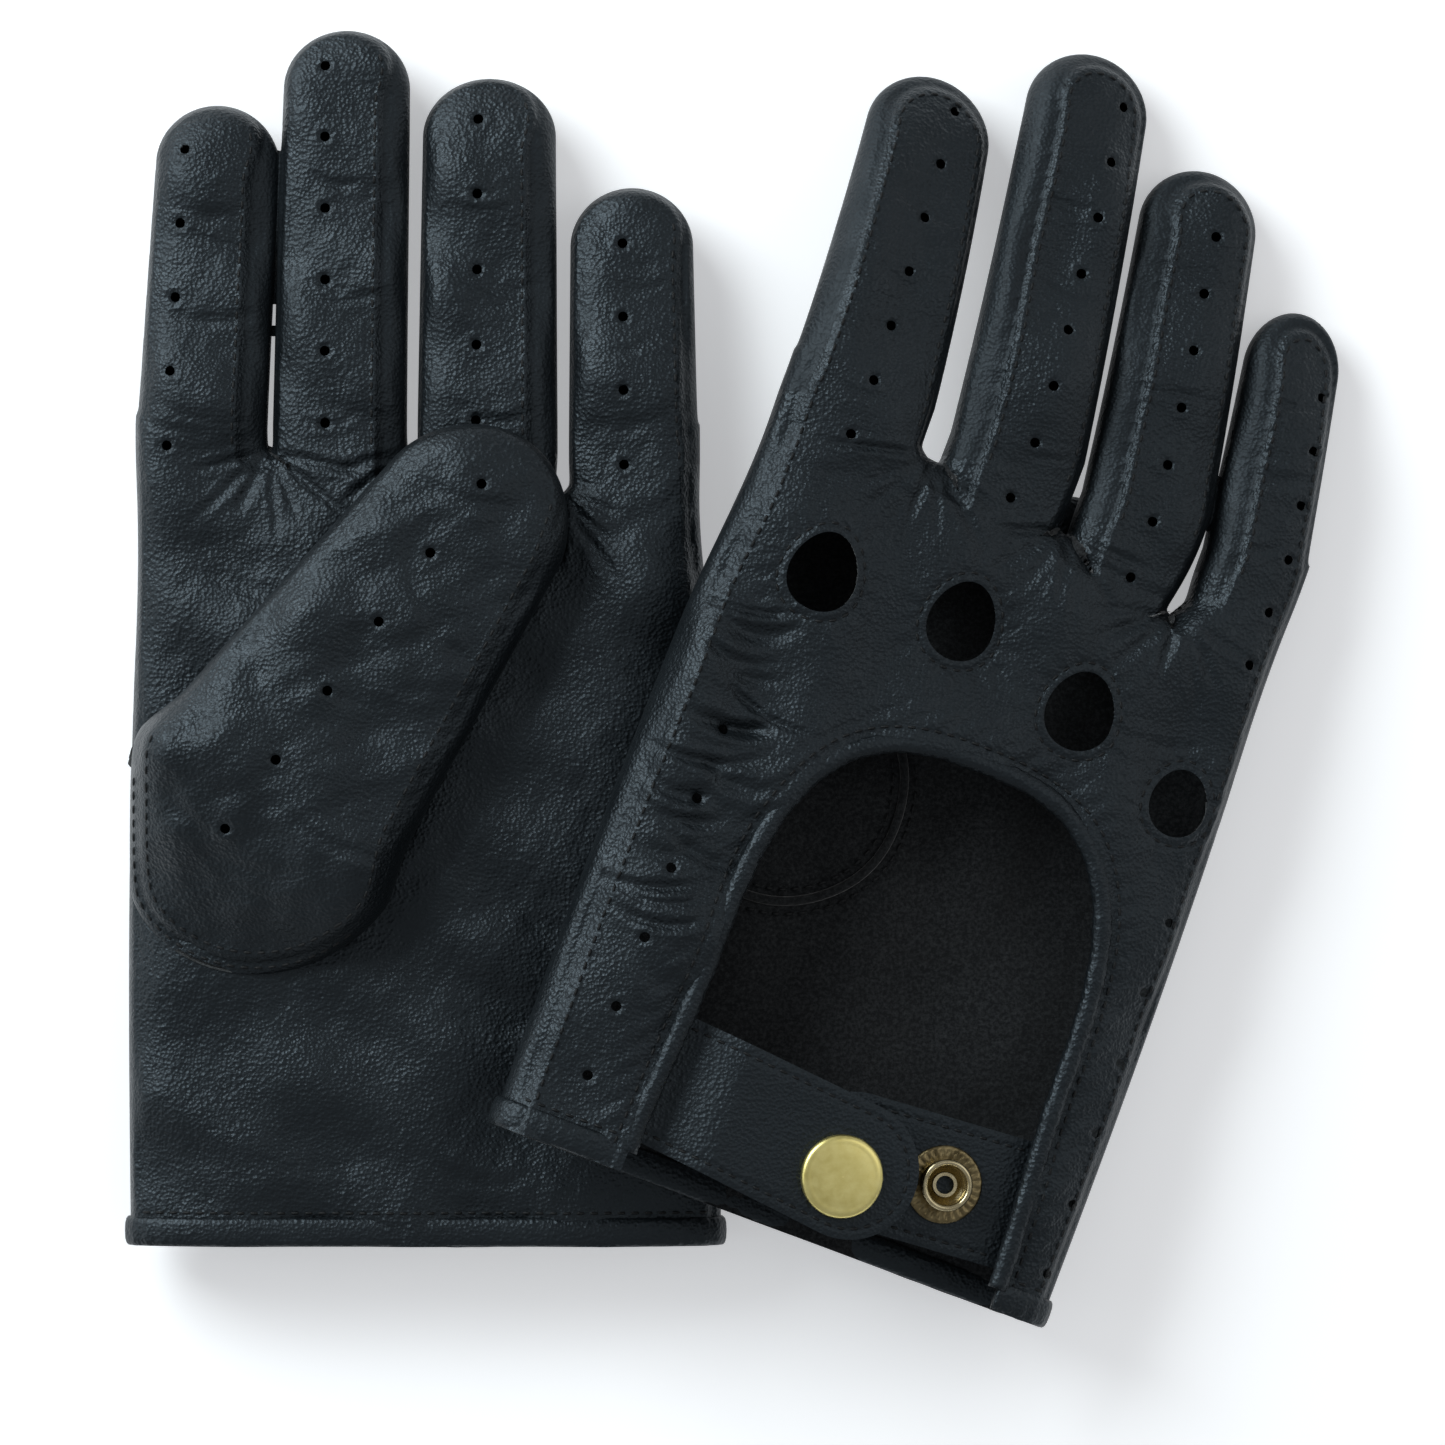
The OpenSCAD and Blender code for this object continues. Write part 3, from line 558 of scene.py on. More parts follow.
class Sheet:
    """A grid over a flat outline: cells inside it kept, its rim points moved onto the outline."""

    def __init__(self, low, high, step, depth, stretch=None, cut=None, line=None):
        us = np.arange(low[0], high[0] + step, step)
        vs = np.arange(low[1], high[1] + step, step)
        self.low, self.step, self.depth, self.round = low[1], step, depth, stretch is not None
        self.u, self.v = np.meshgrid(us, vs)
        whole = self.cells(depth(self.u, self.v)) > 0
        self.edge = self.touching(whole) & self.touching(~whole)
        self.snap(self.edge, depth)
        if stretch is not None:
            self.draw_out(depth, stretch)
        self.keep = whole
        if cut is not None:
            self.keep = whole & (self.cells(cut(self.u, self.v)) < 0)
            lip = self.touching(whole & ~self.keep) & self.touching(self.keep)
            self.snap(lip & ~self.edge, cut)
        if line is not None:
            beyond = self.cells(line(self.u, self.v)) > 0
            seam = self.touching(self.keep & beyond) & self.touching(self.keep & ~beyond)
            self.snap(seam & ~self.edge & ~self.touching(~self.keep), line)

    def snap(self, chosen, f):
        """Move the chosen points to where f is 0, by little more than a cell at most."""
        u0, v0 = self.u[chosen], self.v[chosen]
        u, v = settle(f, u0, v0, 0.0)
        far = np.maximum(np.hypot(u - u0, v - v0) / (1.3 * self.step), 1)
        u, v = u0 + (u - u0) / far, v0 + (v - v0) / far
        self.u[chosen], self.v[chosen] = u, np.where(v0 <= self.low, self.low, v)

    def draw_out(self, depth, width):
        """Crowd the points towards the edge, where the leather is steep."""
        u, v = self.u, self.v
        inside = depth(u, v)
        gu, gv = gradient(depth, u, v)
        size = np.maximum(np.hypot(gu, gv), 0.3)
        out = np.where(self.edge | (inside < 0), 0, inside - drawn_out(inside, width))
        self.u = u - gu / size * out
        self.v = np.maximum(v - gv / size * out, self.low)
        self.v[0] = self.low

    @staticmethod
    def cells(at_points):
        a = at_points
        return (a[:-1, :-1] + a[:-1, 1:] + a[1:, 1:] + a[1:, :-1]) / 4

    @staticmethod
    def touching(cells):
        hit = np.zeros((cells.shape[0] + 1, cells.shape[1] + 1), bool)
        for a in (slice(None, -1), slice(1, None)):
            for b in (slice(None, -1), slice(1, None)):
                hit[a, b] |= cells
        return hit

    def centres(self):
        return self.cells(self.u), self.cells(self.v)

    def quads(self, chosen):
        rows, cols = np.nonzero(chosen)
        width = self.u.shape[1]
        first = rows * width + cols
        quads = np.stack([first, first + 1, first + 1 + width, first + width], axis=1)
        return quads if self.upward else quads[:, ::-1]

    def rise(self, level, place, upward):
        """Put the sheet at its height, in the row's frame."""
        self.upward = upward
        u, v = self.u.ravel(), self.v.ravel()
        used = self.touching(self.keep).ravel()
        self.points = np.zeros((len(u), 3))
        self.points[used] = place(u[used], v[used], level(u[used], v[used]))
        self.normals = point_normals(self.points, self.quads(self.keep))
        if self.round:
            u, v = self.u[self.edge], self.v[self.edge]
            gu, gv = gradient(self.depth, u, v)
            self.normals[self.edge.ravel()] = place(u - gu, v - gv, 0 * u) - place(u, v, 0 * u)
        return self

    def part(self, chosen, thickness):
        """The chosen cells as leather: outside, inside and cut edge."""
        used, index = np.unique(self.quads(self.keep & chosen), return_inverse=True)
        index = index.reshape(-1, 4)
        size = np.linalg.norm(self.normals[used], axis=1, keepdims=True)
        normals = self.normals[used] / np.maximum(size, 1e-12)
        return thicken(self.points[used], index, normals, thickness)


def point_normals(points, quads):
    a, b, c, d = (points[quads[:, i]] for i in range(4))
    face = np.cross(c - a, d - b)
    total = np.zeros_like(points)
    for axis in range(3):
        for i in range(4):
            total[:, axis] += np.bincount(quads[:, i], face[:, axis], len(points))
    return total


def thicken(points, quads, normals, thickness):
    """Leather of this thickness. Returns points, faces, material numbers and directions."""
    count = len(points)
    start = quads.ravel()
    end = np.roll(quads, -1, axis=1).ravel()
    single = ~np.isin(start * count + end, end * count + start)
    a, b = start[single], end[single]
    rim = np.stack([b, a, a + count, b + count], axis=1)
    faces = np.concatenate([quads, quads[:, ::-1] + count, rim])
    kinds = np.repeat([0, 1, 2], [len(quads), len(quads), len(rim)])
    inner = points - normals * thickness * MM
    return np.concatenate([points, inner]), faces, kinds, np.concatenate([normals, -normals])


def join(parts):
    """One part from several."""
    points, faces, count = [], [], 0
    for part in parts:
        points.append(part[0])
        faces.append(part[1] + count)
        count += len(part[0])
    kinds = np.concatenate([part[2] for part in parts])
    normals = [part[3] for part in parts] if len(parts[0]) > 3 else None
    joined = (np.concatenate(points), np.concatenate(faces), kinds)
    return joined if normals is None else (*joined, np.concatenate(normals))


def make(name, part, materials):
    points, faces, kinds = part[:3]
    mesh = bpy.data.meshes.new(name)
    mesh.vertices.add(len(points))
    mesh.vertices.foreach_set("co", points.astype(np.float32).ravel())
    mesh.loops.add(faces.size)
    mesh.loops.foreach_set("vertex_index", faces.astype(np.int32).ravel())
    mesh.polygons.add(len(faces))
    mesh.polygons.foreach_set("loop_start", np.arange(0, faces.size, 4, dtype=np.int32))
    mesh.polygons.foreach_set("material_index", kinds.astype(np.int32))
    mesh.polygons.foreach_set("use_smooth", np.ones(len(faces), bool))
    for material in materials:
        mesh.materials.append(material)
    mesh.update(calc_edges=True)
    if len(part) > 3:
        mesh.normals_split_custom_set_from_vertices(part[3])
    piece = bpy.data.objects.new(name, mesh)
    bpy.context.scene.collection.objects.link(piece)
    return piece


def cover(name, part, materials, slot, *nodes):
    """A visible piece taking the place of these CAD nodes, which it hides; slot is not used."""
    piece = make(name, part, materials)
    if nodes:
        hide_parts(*nodes)
    return piece


def sweep(rings, closed=False):
    """Quads over rings of points; the open ends are closed with a fan of quads."""
    rings = np.asarray(rings)
    count, around = rings.shape[:2]
    faces = []
    for i in range(count if closed else count - 1):
        j = (i + 1) % count
        for k in range(around):
            m = (k + 1) % around
            faces.append((i * around + k, i * around + m, j * around + m, j * around + k))
    if not closed:
        for start, turn in ((0, 1), ((count - 1) * around, -1)):
            for k in range(0, around // 2 - 1):
                quad = (k, around - 1 - k, around - 2 - k, k + 1)
                faces.append(tuple(start + q for q in quad[::turn]))
    faces = np.array(faces)
    return rings.reshape(-1, 3), faces, np.zeros(len(faces), int)


def spin(profile, centre, place, around=96, lift=None):
    """A turned part: profile is a closed run of (radius, height) round its section."""
    angles = np.linspace(0, 2 * math.pi, around, endpoint=False)
    rings = []
    for angle in angles:
        r = np.array([p[0] for p in profile])
        h = np.array([p[1] for p in profile])
        if lift is not None:
            h = h + lift(r, h, angle)
        ring = place(centre[0] + r * math.cos(angle), centre[1] + r * math.sin(angle), h)
        rings.append(ring)
    return sweep(rings, closed=True)


# ---- materials ---------------------------------------------------------------------------------


class Look:
    """A node material being built."""

    def __init__(self, name):
        self.material = bpy.data.materials.new(name)
        self.material.use_nodes = True
        self.nodes = self.material.node_tree.nodes
        self.links = self.material.node_tree.links
        self.shader = self.nodes["Principled BSDF"]
        self.place = self.nodes.new("ShaderNodeTexCoord").outputs["Object"]

    def node(self, kind, inputs):
        made = self.nodes.new(kind)
        for key, value in inputs.items():
            if isinstance(value, bpy.types.NodeSocket):
                self.links.new(value, made.inputs[key])
            else:
                made.inputs[key].default_value = value
        return made

    def noise(self, scale, detail=3.0, roughness=0.55, place=None):
        inputs = {
            "Vector": place or self.place,
            "Scale": scale,
            "Detail": detail,
            "Roughness": roughness,
        }
        return self.node("ShaderNodeTexNoise", inputs).outputs["Fac"]

    def stretched(self, scale):
        inputs = {"Vector": self.place, "Scale": scale}
        return self.node("ShaderNodeMapping", inputs).outputs["Vector"]

    def cells(self, scale, place=None):
        inputs = {"Vector": place or self.place, "Scale": scale}
        return self.node("ShaderNodeTexVoronoi", inputs).outputs["Distance"]

    def span(self, value, low, high, start=0.0, end=1.0):
        inputs = {
            "Value": value,
            "From Min": start,
            "From Max": end,
            "To Min": low,
            "To Max": high,
        }
        return self.node("ShaderNodeMapRange", inputs).outputs["Result"]

    def ramp(self, value, stops):
        made = self.node("ShaderNodeValToRGB", {"Fac": value})
        for element, (at, colour) in zip(made.color_ramp.elements, stops):
            element.position = at
            element.color = (*colour, 1)
        return made.outputs["Color"]

    def bumped(self, height, strength, distance, normal=None):
        inputs = {"Height": height, "Strength": strength, "Distance": distance * MM}
        if normal is not None:
            inputs["Normal"] = normal
        return self.node("ShaderNodeBump", inputs).outputs["Normal"]

    def finish(self, **sockets):
        for key, value in sockets.items():
            socket = self.shader.inputs[key.replace("_", " ")]
            if isinstance(value, bpy.types.NodeSocket):
                self.links.new(value, socket)
            else:
                socket.default_value = value
        return self.material


def leather(name, dark, light, rough=(0.36, 0.5), grain=1.0):
    look = Look(name)
    patches = look.noise(55, 4)
    fine = look.cells(1500)
    wide = look.cells(880, place=look.stretched((1.0, 1.5, 1.0)))
    creases = look.noise(260, 5, 0.6, look.stretched((0.6, 2.2, 1.0)))
    colour = look.ramp(patches, [(0.3, dark), (0.72, light)])
    normal = look.bumped(creases, 0.16 * grain, 0.4)
    normal = look.bumped(wide, 0.4 * grain, 0.28, normal)
    normal = look.bumped(fine, 0.75 * grain, 0.22, normal)
    return look.finish(
        Base_Color=colour,
        Roughness=look.span(look.noise(190, 3), rough[0], rough[1], 0.25, 0.75),
        Normal=normal,
        Specular_IOR_Level=0.42,
        Specular_Tint=(0.74, 0.89, 1.0, 1),
        Coat_Weight=0.06,
        Coat_Roughness=0.45,
    )


def suede():
    look = Look("suede_inside")
    speckle = look.noise(1500, 4, 0.7)
    nap = look.noise(420, 4, 0.6, look.stretched((1.0, 2.0, 1.0)))
    dark, light = (0.006, 0.007, 0.008), (0.035, 0.038, 0.04)
    return look.finish(
        Base_Color=look.ramp(speckle, [(0.42, dark), (0.75, light)]),
        Roughness=look.span(nap, 0.88, 1.0),
        Normal=look.bumped(nap, 0.6, 0.5),
        Specular_IOR_Level=0.15,
        Sheen_Weight=0.25,
    )


def raw_edge():
    look = Look("leather_cut_edge")
    fibre = look.noise(1800, 4, 0.7)
    dark, light = (0.035, 0.04, 0.042), (0.12, 0.13, 0.135)
    return look.finish(
        Base_Color=look.ramp(fibre, [(0.35, dark), (0.7, light)]),
        Roughness=look.span(fibre, 0.7, 0.9),
        Normal=look.bumped(fibre, 0.5, 0.3),
    )


def thread():
    look = Look("thread_black")
    twist = look.noise(2600, 2)
    dark, light = (0.002, 0.0025, 0.003), (0.010, 0.012, 0.013)
    return look.finish(
        Base_Color=look.ramp(twist, [(0.35, dark), (0.7, light)]),
        Roughness=look.span(twist, 0.5, 0.7),
        Normal=look.bumped(twist, 0.5, 0.15),
        Specular_IOR_Level=0.3,
    )


def metal(name, dark, light, rough, scratch=0.1):
    look = Look(name)
    patina = look.noise(420, 5, 0.65)
    lines = look.noise(1400, 3, 0.6, look.stretched((1.0, 7.0, 1.0)))
    return look.finish(
        Base_Color=look.ramp(patina, [(0.3, dark), (0.7, light)]),
        Metallic=1.0,
        Roughness=look.span(patina, rough[0], rough[1], 0.3, 0.7),
        Normal=look.bumped(lines, scratch, 0.06),
    )


DEEP = (0.003, 0.0042, 0.0052), (0.0065, 0.0085, 0.010)
DULL = (0.003, 0.004, 0.005), (0.006, 0.008, 0.0095)
LEATHER = leather("leather_black", *DEEP)
GUSSET = leather("leather_gusset", *DULL, (0.5, 0.64), 0.9)
BINDING = leather("leather_binding", *DULL, (0.38, 0.5), 0.8)
STRAP = leather("leather_strap", *DEEP, (0.4, 0.54))
SUEDE, EDGE, THREAD = suede(), raw_edge(), thread()
LAYERS = [LEATHER, SUEDE, EDGE]  # outside, inside and cut edge
CAP_BRASS = metal("brass_satin", (0.86, 0.73, 0.25), (0.97, 0.86, 0.36), (0.3, 0.42), 0.12)
OLD_BRASS = metal("brass_antique", (0.1, 0.075, 0.035), (0.34, 0.27, 0.14), (0.24, 0.48), 0.3)
LIP_BRASS = metal("brass_worn", (0.42, 0.35, 0.2), (0.66, 0.57, 0.36), (0.16, 0.3), 0.2)
STEEL = metal("spring_steel", (0.4, 0.4, 0.41), (0.62, 0.62, 0.63), (0.2, 0.34))

# ---- stitches ----------------------------------------------------------------------------------


def stitches(place, level, us, vs, face, raise_by=STITCH_RAISE):
    """Thread stitches laid along a line on a face, sunk a little at both ends."""
    us, vs = np.asarray(us, float), np.asarray(vs, float)
    run = np.concatenate([[0], np.cumsum(np.hypot(np.diff(us), np.diff(vs)))])
    count = max(1, int(run[-1] / STITCH_PITCH))
    centres = (np.arange(count) + 0.5) * run[-1] / count
    marks = np.array([-0.5, -0.36, -0.15, 0.15, 0.36, 0.5]) * STITCH_L
    thick = np.array([0.35, 0.85, 1, 1, 0.85, 0.35]) * STITCH_R
    sink = np.array([-0.3, -0.06, 0, 0, -0.06, -0.3])
    around = np.arange(6) * math.pi / 3
    parts = []
    for centre in centres:
        along = centre + marks
        u, v = np.interp(along, run, us), np.interp(along, run, vs)
        w = level(u, v) + face * (raise_by + sink)
        tu, tv = u[-1] - u[0], v[-1] - v[0]
        size = math.hypot(tu, tv) or 1
        nu, nv = -tv / size, tu / size
        rings = [
            place(
                u[k] + nu * thick[k] * np.cos(around),
                v[k] + nv * thick[k] * np.cos(around),
                w[k] + STITCH_FLAT * thick[k] * np.sin(around),
            )
            for k in range(6)
        ]
        parts.append(sweep(rings))
    return parts


def sewn(name, rows):
    return cover(name, join(rows), [THREAD], "thread")


# ---- building one glove ------------------------------------------------------------------------


def row_points(start, end, count):
    steps = [k / (count - 1) for k in range(count)]
    return [tuple(a + (b - a) * t for a, b in zip(start, end)) for t in steps]


def press_creases(glove, thumb):
    """Wrinkles where the leather folds in use."""
    rng = glove.rng
    for face in (BACK, PALM):
        for fork_u, fork_v in zip(glove.fork_u, glove.fork_v):
            for angle in np.linspace(-168, -12, 7) + rng.uniform(-8, 8, 7):
                reach = rng.uniform(5, 9)
                turn = math.radians(angle)
                at = (fork_u + (reach + 2) * math.cos(turn), fork_v + (reach + 1) * math.sin(turn))
                glove.crease(face, at, angle, reach, rng.uniform(0.7, 1.2), rng.uniform(0.25, 0.6))
        for i, f in enumerate(glove.finger):
            for s in (0.02, 0.36, 0.62):
                for _ in range(3):
                    along = (s + rng.uniform(-0.06, 0.06)) * f["l"]
                    u, v = glove.off_finger(i, along, rng.uniform(-4, 4))
                    tilt = -math.degrees(f["lean"]) + rng.uniform(-16, 16)
                    wide, deep = rng.uniform(0.7, 1.7), rng.uniform(0.06, 0.24)
                    glove.crease(face, (u, v), tilt, rng.uniform(4, 9), wide, deep, 1.5)
        for _ in range(16):
            at = (rng.uniform(-42, 42), rng.uniform(12, 140))
            tilt, wide = rng.uniform(-30, 30), rng.uniform(1.2, 3)
            glove.crease(face, at, tilt, rng.uniform(8, 20), wide, rng.uniform(0.1, 0.32), 3)
    for v in np.linspace(44, 104, 17) + rng.uniform(-2, 2, 17):
        at = (rng.uniform(-46, -36), v)
        tilt, wide = rng.uniform(-18, 24), rng.uniform(0.7, 1.7)
        glove.crease(BACK, at, tilt, rng.uniform(5, 11), wide, rng.uniform(0.3, 0.85), 1.5)
    for _ in range(14):
        at = (rng.uniform(-14, 14), rng.uniform(-18, thumb.l - 12))
        tilt, wide = rng.uniform(-25, 25), rng.uniform(1.0, 2.4)
        thumb.crease(PALM, at, tilt, rng.uniform(5, 12), wide, rng.uniform(0.08, 0.26), 2)


def finger_line(glove, face, i):
    """Line beside finger i's seam, up one side, round the tip and down the other."""
    f = glove.finger[i]
    turn = np.linspace(0, math.pi, 40)
    up = np.linspace(FOLD_FROM, f["l"] - TIP_L, 60)
    along = np.concatenate([up, f["l"] - TIP_L + TIP_L * np.sin(turn), up[::-1]])
    across = np.concatenate([-np.ones(60), -np.cos(turn), np.ones(60)]) * (f["half"] - SEAM_INSET)
    u, v = glove.off_finger(i, along, across)
    return settle(lambda a, b: glove.past_seam(face, a, b), u, v, SEAM_INSET, 12)


def split_line(test, u, v):
    """Runs of a line on which test holds."""
    runs, current = [], []
    for ok, a, b in zip(test, u, v):
        if ok:
            current.append((a, b))
        elif current:
            runs.append(current)
            current = []
    if current:
        runs.append(current)
    return [np.array(run).T for run in runs if len(run) > 2]


def strap_depth(u, v, a, b, radius_a, radius_b):
    """Depth inside a strip with round ends from a to b."""
    du, dv = b[0] - a[0], b[1] - a[1]
    t = np.clip(((u - a[0]) * du + (v - a[1]) * dv) / (du * du + dv * dv), 0, 1)
    return radius_a + (radius_b - radius_a) * t - np.hypot(u - a[0] - t * du, v - a[1] - t * dv)


def build_glove(side, seed):
    glove = Glove(side, seed)
    thumb = Thumb(glove, seed + 10)
    mirrored = side == "left"
    hand = f"{side}_hand"
    press_creases(glove, thumb)

    for face, rows in ((PALM, PALM_ROWS), (BACK, BACK_ROWS)):
        for i, (start, end, count) in enumerate(rows):
            for s, r in row_points(start, end, count):
                glove.punch(face, [tuple(float(x) for x in glove.off_finger(i, s, r))])
    for start, end, count in SIDE_ROWS:
        glove.punch(BACK, row_points(start, end, count))
    thumb.punch(PALM, [(r, s) for s, r in row_points(*THUMB_ROW)])

    # Hand and fingers
    sheets = {}
    for face in (BACK, PALM):
        sheets[face] = Sheet(
            (-62, 0),
            (64, 236),
            GRID,
            glove.depth,
            CROWDED,
            lambda u, v, face=face: glove.cut(face, u, v),
            lambda u, v, face=face: glove.past_seam(face, u, v),
        ).rise(
            lambda u, v, face=face: glove.level(face, u, v),
            glove.place,
            (face == BACK) != mirrored,
        )
    gussets = {name: [] for name in FINGERS}
    for face, sheet in sheets.items():
        cu, cv = sheet.centres()
        owner = np.full(cu.shape, -1)
        depths = np.stack([glove.finger_depth(i, cu, cv) for i in range(4)])
        for i in range(4):
            along = glove.on_finger(i, cu, cv)[0]
            owner[(depths.argmax(axis=0) == i) & (along > FOLD_FROM)] = i
        strip = glove.past_seam(face, cu, cv) <= 0
        word = "back" if face == BACK else "palm"
        nodes = [f"{side}_{word}_panel"]
        if face == PALM:
            nodes.append(f"{side}_fork_gussets")
        part = sheet.part(owner < 0, LEATHER_T)
        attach(cover(f"{side}_{word}_leather", part, LAYERS, "leather_black", *nodes), hand)
        for i, name in enumerate(FINGERS):
            gussets[name].append(sheet.part((owner == i) & strip, LEATHER_T))
            part = sheet.part((owner == i) & ~strip, LEATHER_T)
            names = f"{side}_{name}_{word}_leather", f"{side}_{name}_{word}"
            bend(glove, cover(names[0], part, LAYERS, "leather_black", names[1]), i)
    for i, name in enumerate(FINGERS):
        node = f"{side}_{name}_gusset" + ("" if name in ("index", "little") else "s")
        strips, layers = join(gussets[name]), [GUSSET, SUEDE, EDGE]
        piece = cover(f"{side}_{name}_side_strips", strips, layers, "leather_gusset", node)
        bend(glove, piece, i)

    build_thumb(glove, thumb, mirrored, hand)
    build_bindings(glove, hand)
    build_stitches(glove, thumb, hand)
    build_straps(glove, mirrored, hand)
    build_snap(glove, hand)


def spot(place, u, v):
    return place(np.float64(u), np.float64(v), np.float64(0)).tolist()


def bend(glove, piece, i):
    ends = [spot(glove.place, *glove.off_finger(i, along, 0.0)) for along in (FOLD_FROM, FOLD_TO)]
    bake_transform(piece)


def bend_thumb(thumb, piece):
    ends = [spot(thumb.place, 0, s) for s in (THUMB_FOLD_FROM, THUMB_FOLD_TO)]
    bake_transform(piece)


def build_thumb(glove, thumb, mirrored, hand):
    side = glove.side
    low, high = (-34, -36), (34, thumb.l + 2)
    front = Sheet(
        low, high, GRID, thumb.depth, CROWDED, lambda r, s: thumb.cut(PALM, r, s)
    )
    cs = front.centres()[1]

    def top(r, s):
        return thumb.level(PALM, r, s)

    def bottom(r, s):
        return thumb.level(BACK, r, s)

    front.rise(top, thumb.place, mirrored)
    under = Sheet(low, high, GRID, thumb.depth, CROWDED)
    under.rise(bottom, thumb.place, not mirrored)
    beyond = cs > THUMB_FOLD_FROM
    parts = (
        ("base", front.part(~beyond, THUMB_BASE_T)),
        ("front", front.part(beyond, LEATHER_T)),
        ("back", under.part(beyond, LEATHER_T)),
    )
    for word, part in parts:
        name = f"{side}_thumb_{word}"
        piece = cover(f"{name}_leather", part, LAYERS, "leather_black", name)
        if word == "base":
            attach(piece, hand)
        else:
            bend_thumb(thumb, piece)


def window_line(grow):
    """Points along the window's edge, from its low-u foot over the arch to its high-u foot."""
    turn = np.linspace(math.pi, 0, 121)
    u = WINDOW_U + (WINDOW_HALF_W + grow) * power(np.cos(turn), WINDOW_POWER)
    v = WINDOW_SPRING + (WINDOW_TOP - WINDOW_SPRING + grow) * power(np.sin(turn), WINDOW_POWER)
    foot = np.linspace(HEM_ROLL - 1.5, WINDOW_SPRING, 40)[:-1]
    side = WINDOW_HALF_W + grow + 2 * smooth(WINDOW_SPRING - foot, 0, WINDOW_SPRING)
    u = np.concatenate([WINDOW_U - side, u, (WINDOW_U + side)[::-1]])
    v = np.concatenate([foot, v, foot[::-1]])
    run = np.concatenate([[0], np.cumsum(np.hypot(np.diff(u), np.diff(v)))])
    even = np.linspace(0, run[-1], int(run[-1] / 0.9))
    return np.interp(even, run, u), np.interp(even, run, v)


def sideways(a, b):
    """Unit direction across a run of points at each of them, and the length so far."""
    da, db = np.gradient(a), np.gradient(b)
    size = np.maximum(np.hypot(da, db), 1e-6)
    return -db / size, da / size, np.cumsum(size)


def build_bindings(glove, hand):
    side = glove.side
    u, v = window_line(0.0)
    w = glove.middle(u, v)
    w = w + glove.half_height(u, v) * rounding(glove.depth(u, v), glove.edge_width(u, v)) - 0.15
    nu, nv, run = sideways(u, v)
    around = np.linspace(0, 2 * math.pi, 14, endpoint=False)
    rings = []
    for k in range(len(u)):
        r = BINDING_R * (1 + 0.05 * math.sin(2.6 * run[k]) + 0.04 * math.sin(0.7 * run[k]))
        across = r * 1.12 * np.cos(around)
        rings.append(
            glove.place(u[k] + nu[k] * across, v[k] + nv[k] * across, w[k] + r * np.sin(around))
        )
    name = f"{side}_window_binding"
    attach(cover(f"{name}_roll", sweep(rings), [BINDING], "leather_binding", name), hand)

    # Hem: round the palm and both sides as far as the window's feet
    reach = float(hand_half_width(np.float64(0)))
    foot = WINDOW_HALF_W + 2.0
    first = np.linspace(WINDOW_U + foot, reach, 26)[:-1]
    low = reach * np.sin(np.linspace(math.pi / 2, -math.pi / 2, 130))
    last = np.linspace(-reach, WINDOW_U - foot, 40)[1:]
    us = np.concatenate([first, low, last])
    faces = np.concatenate([np.ones(25), -np.ones(130), np.ones(39)])
    v0 = np.full_like(us, HEM_ROLL / 2)
    inside = np.clip(reach - np.abs(us), 0, None)
    height = glove.half_height(us, v0) * rounding(inside, HAND_EDGE)
    ws = glove.middle(us, v0) + faces * height
    nu, nw, run = sideways(us, ws)
    rings = []
    for k in range(len(us)):
        out = 0.15 + 1.0 * power(np.cos(around), 0.7) + 0.06 * math.sin(2.3 * run[k])
        rings.append(
            glove.place(
                us[k] + nu[k] * out,
                HEM_ROLL / 2 + (HEM_ROLL / 2) * power(np.sin(around), 0.75),
                ws[k] + nw[k] * out,
            )
        )
    name = f"{side}_hem_binding"
    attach(cover(f"{name}_roll", sweep(rings), [BINDING], "leather_binding", name), hand)


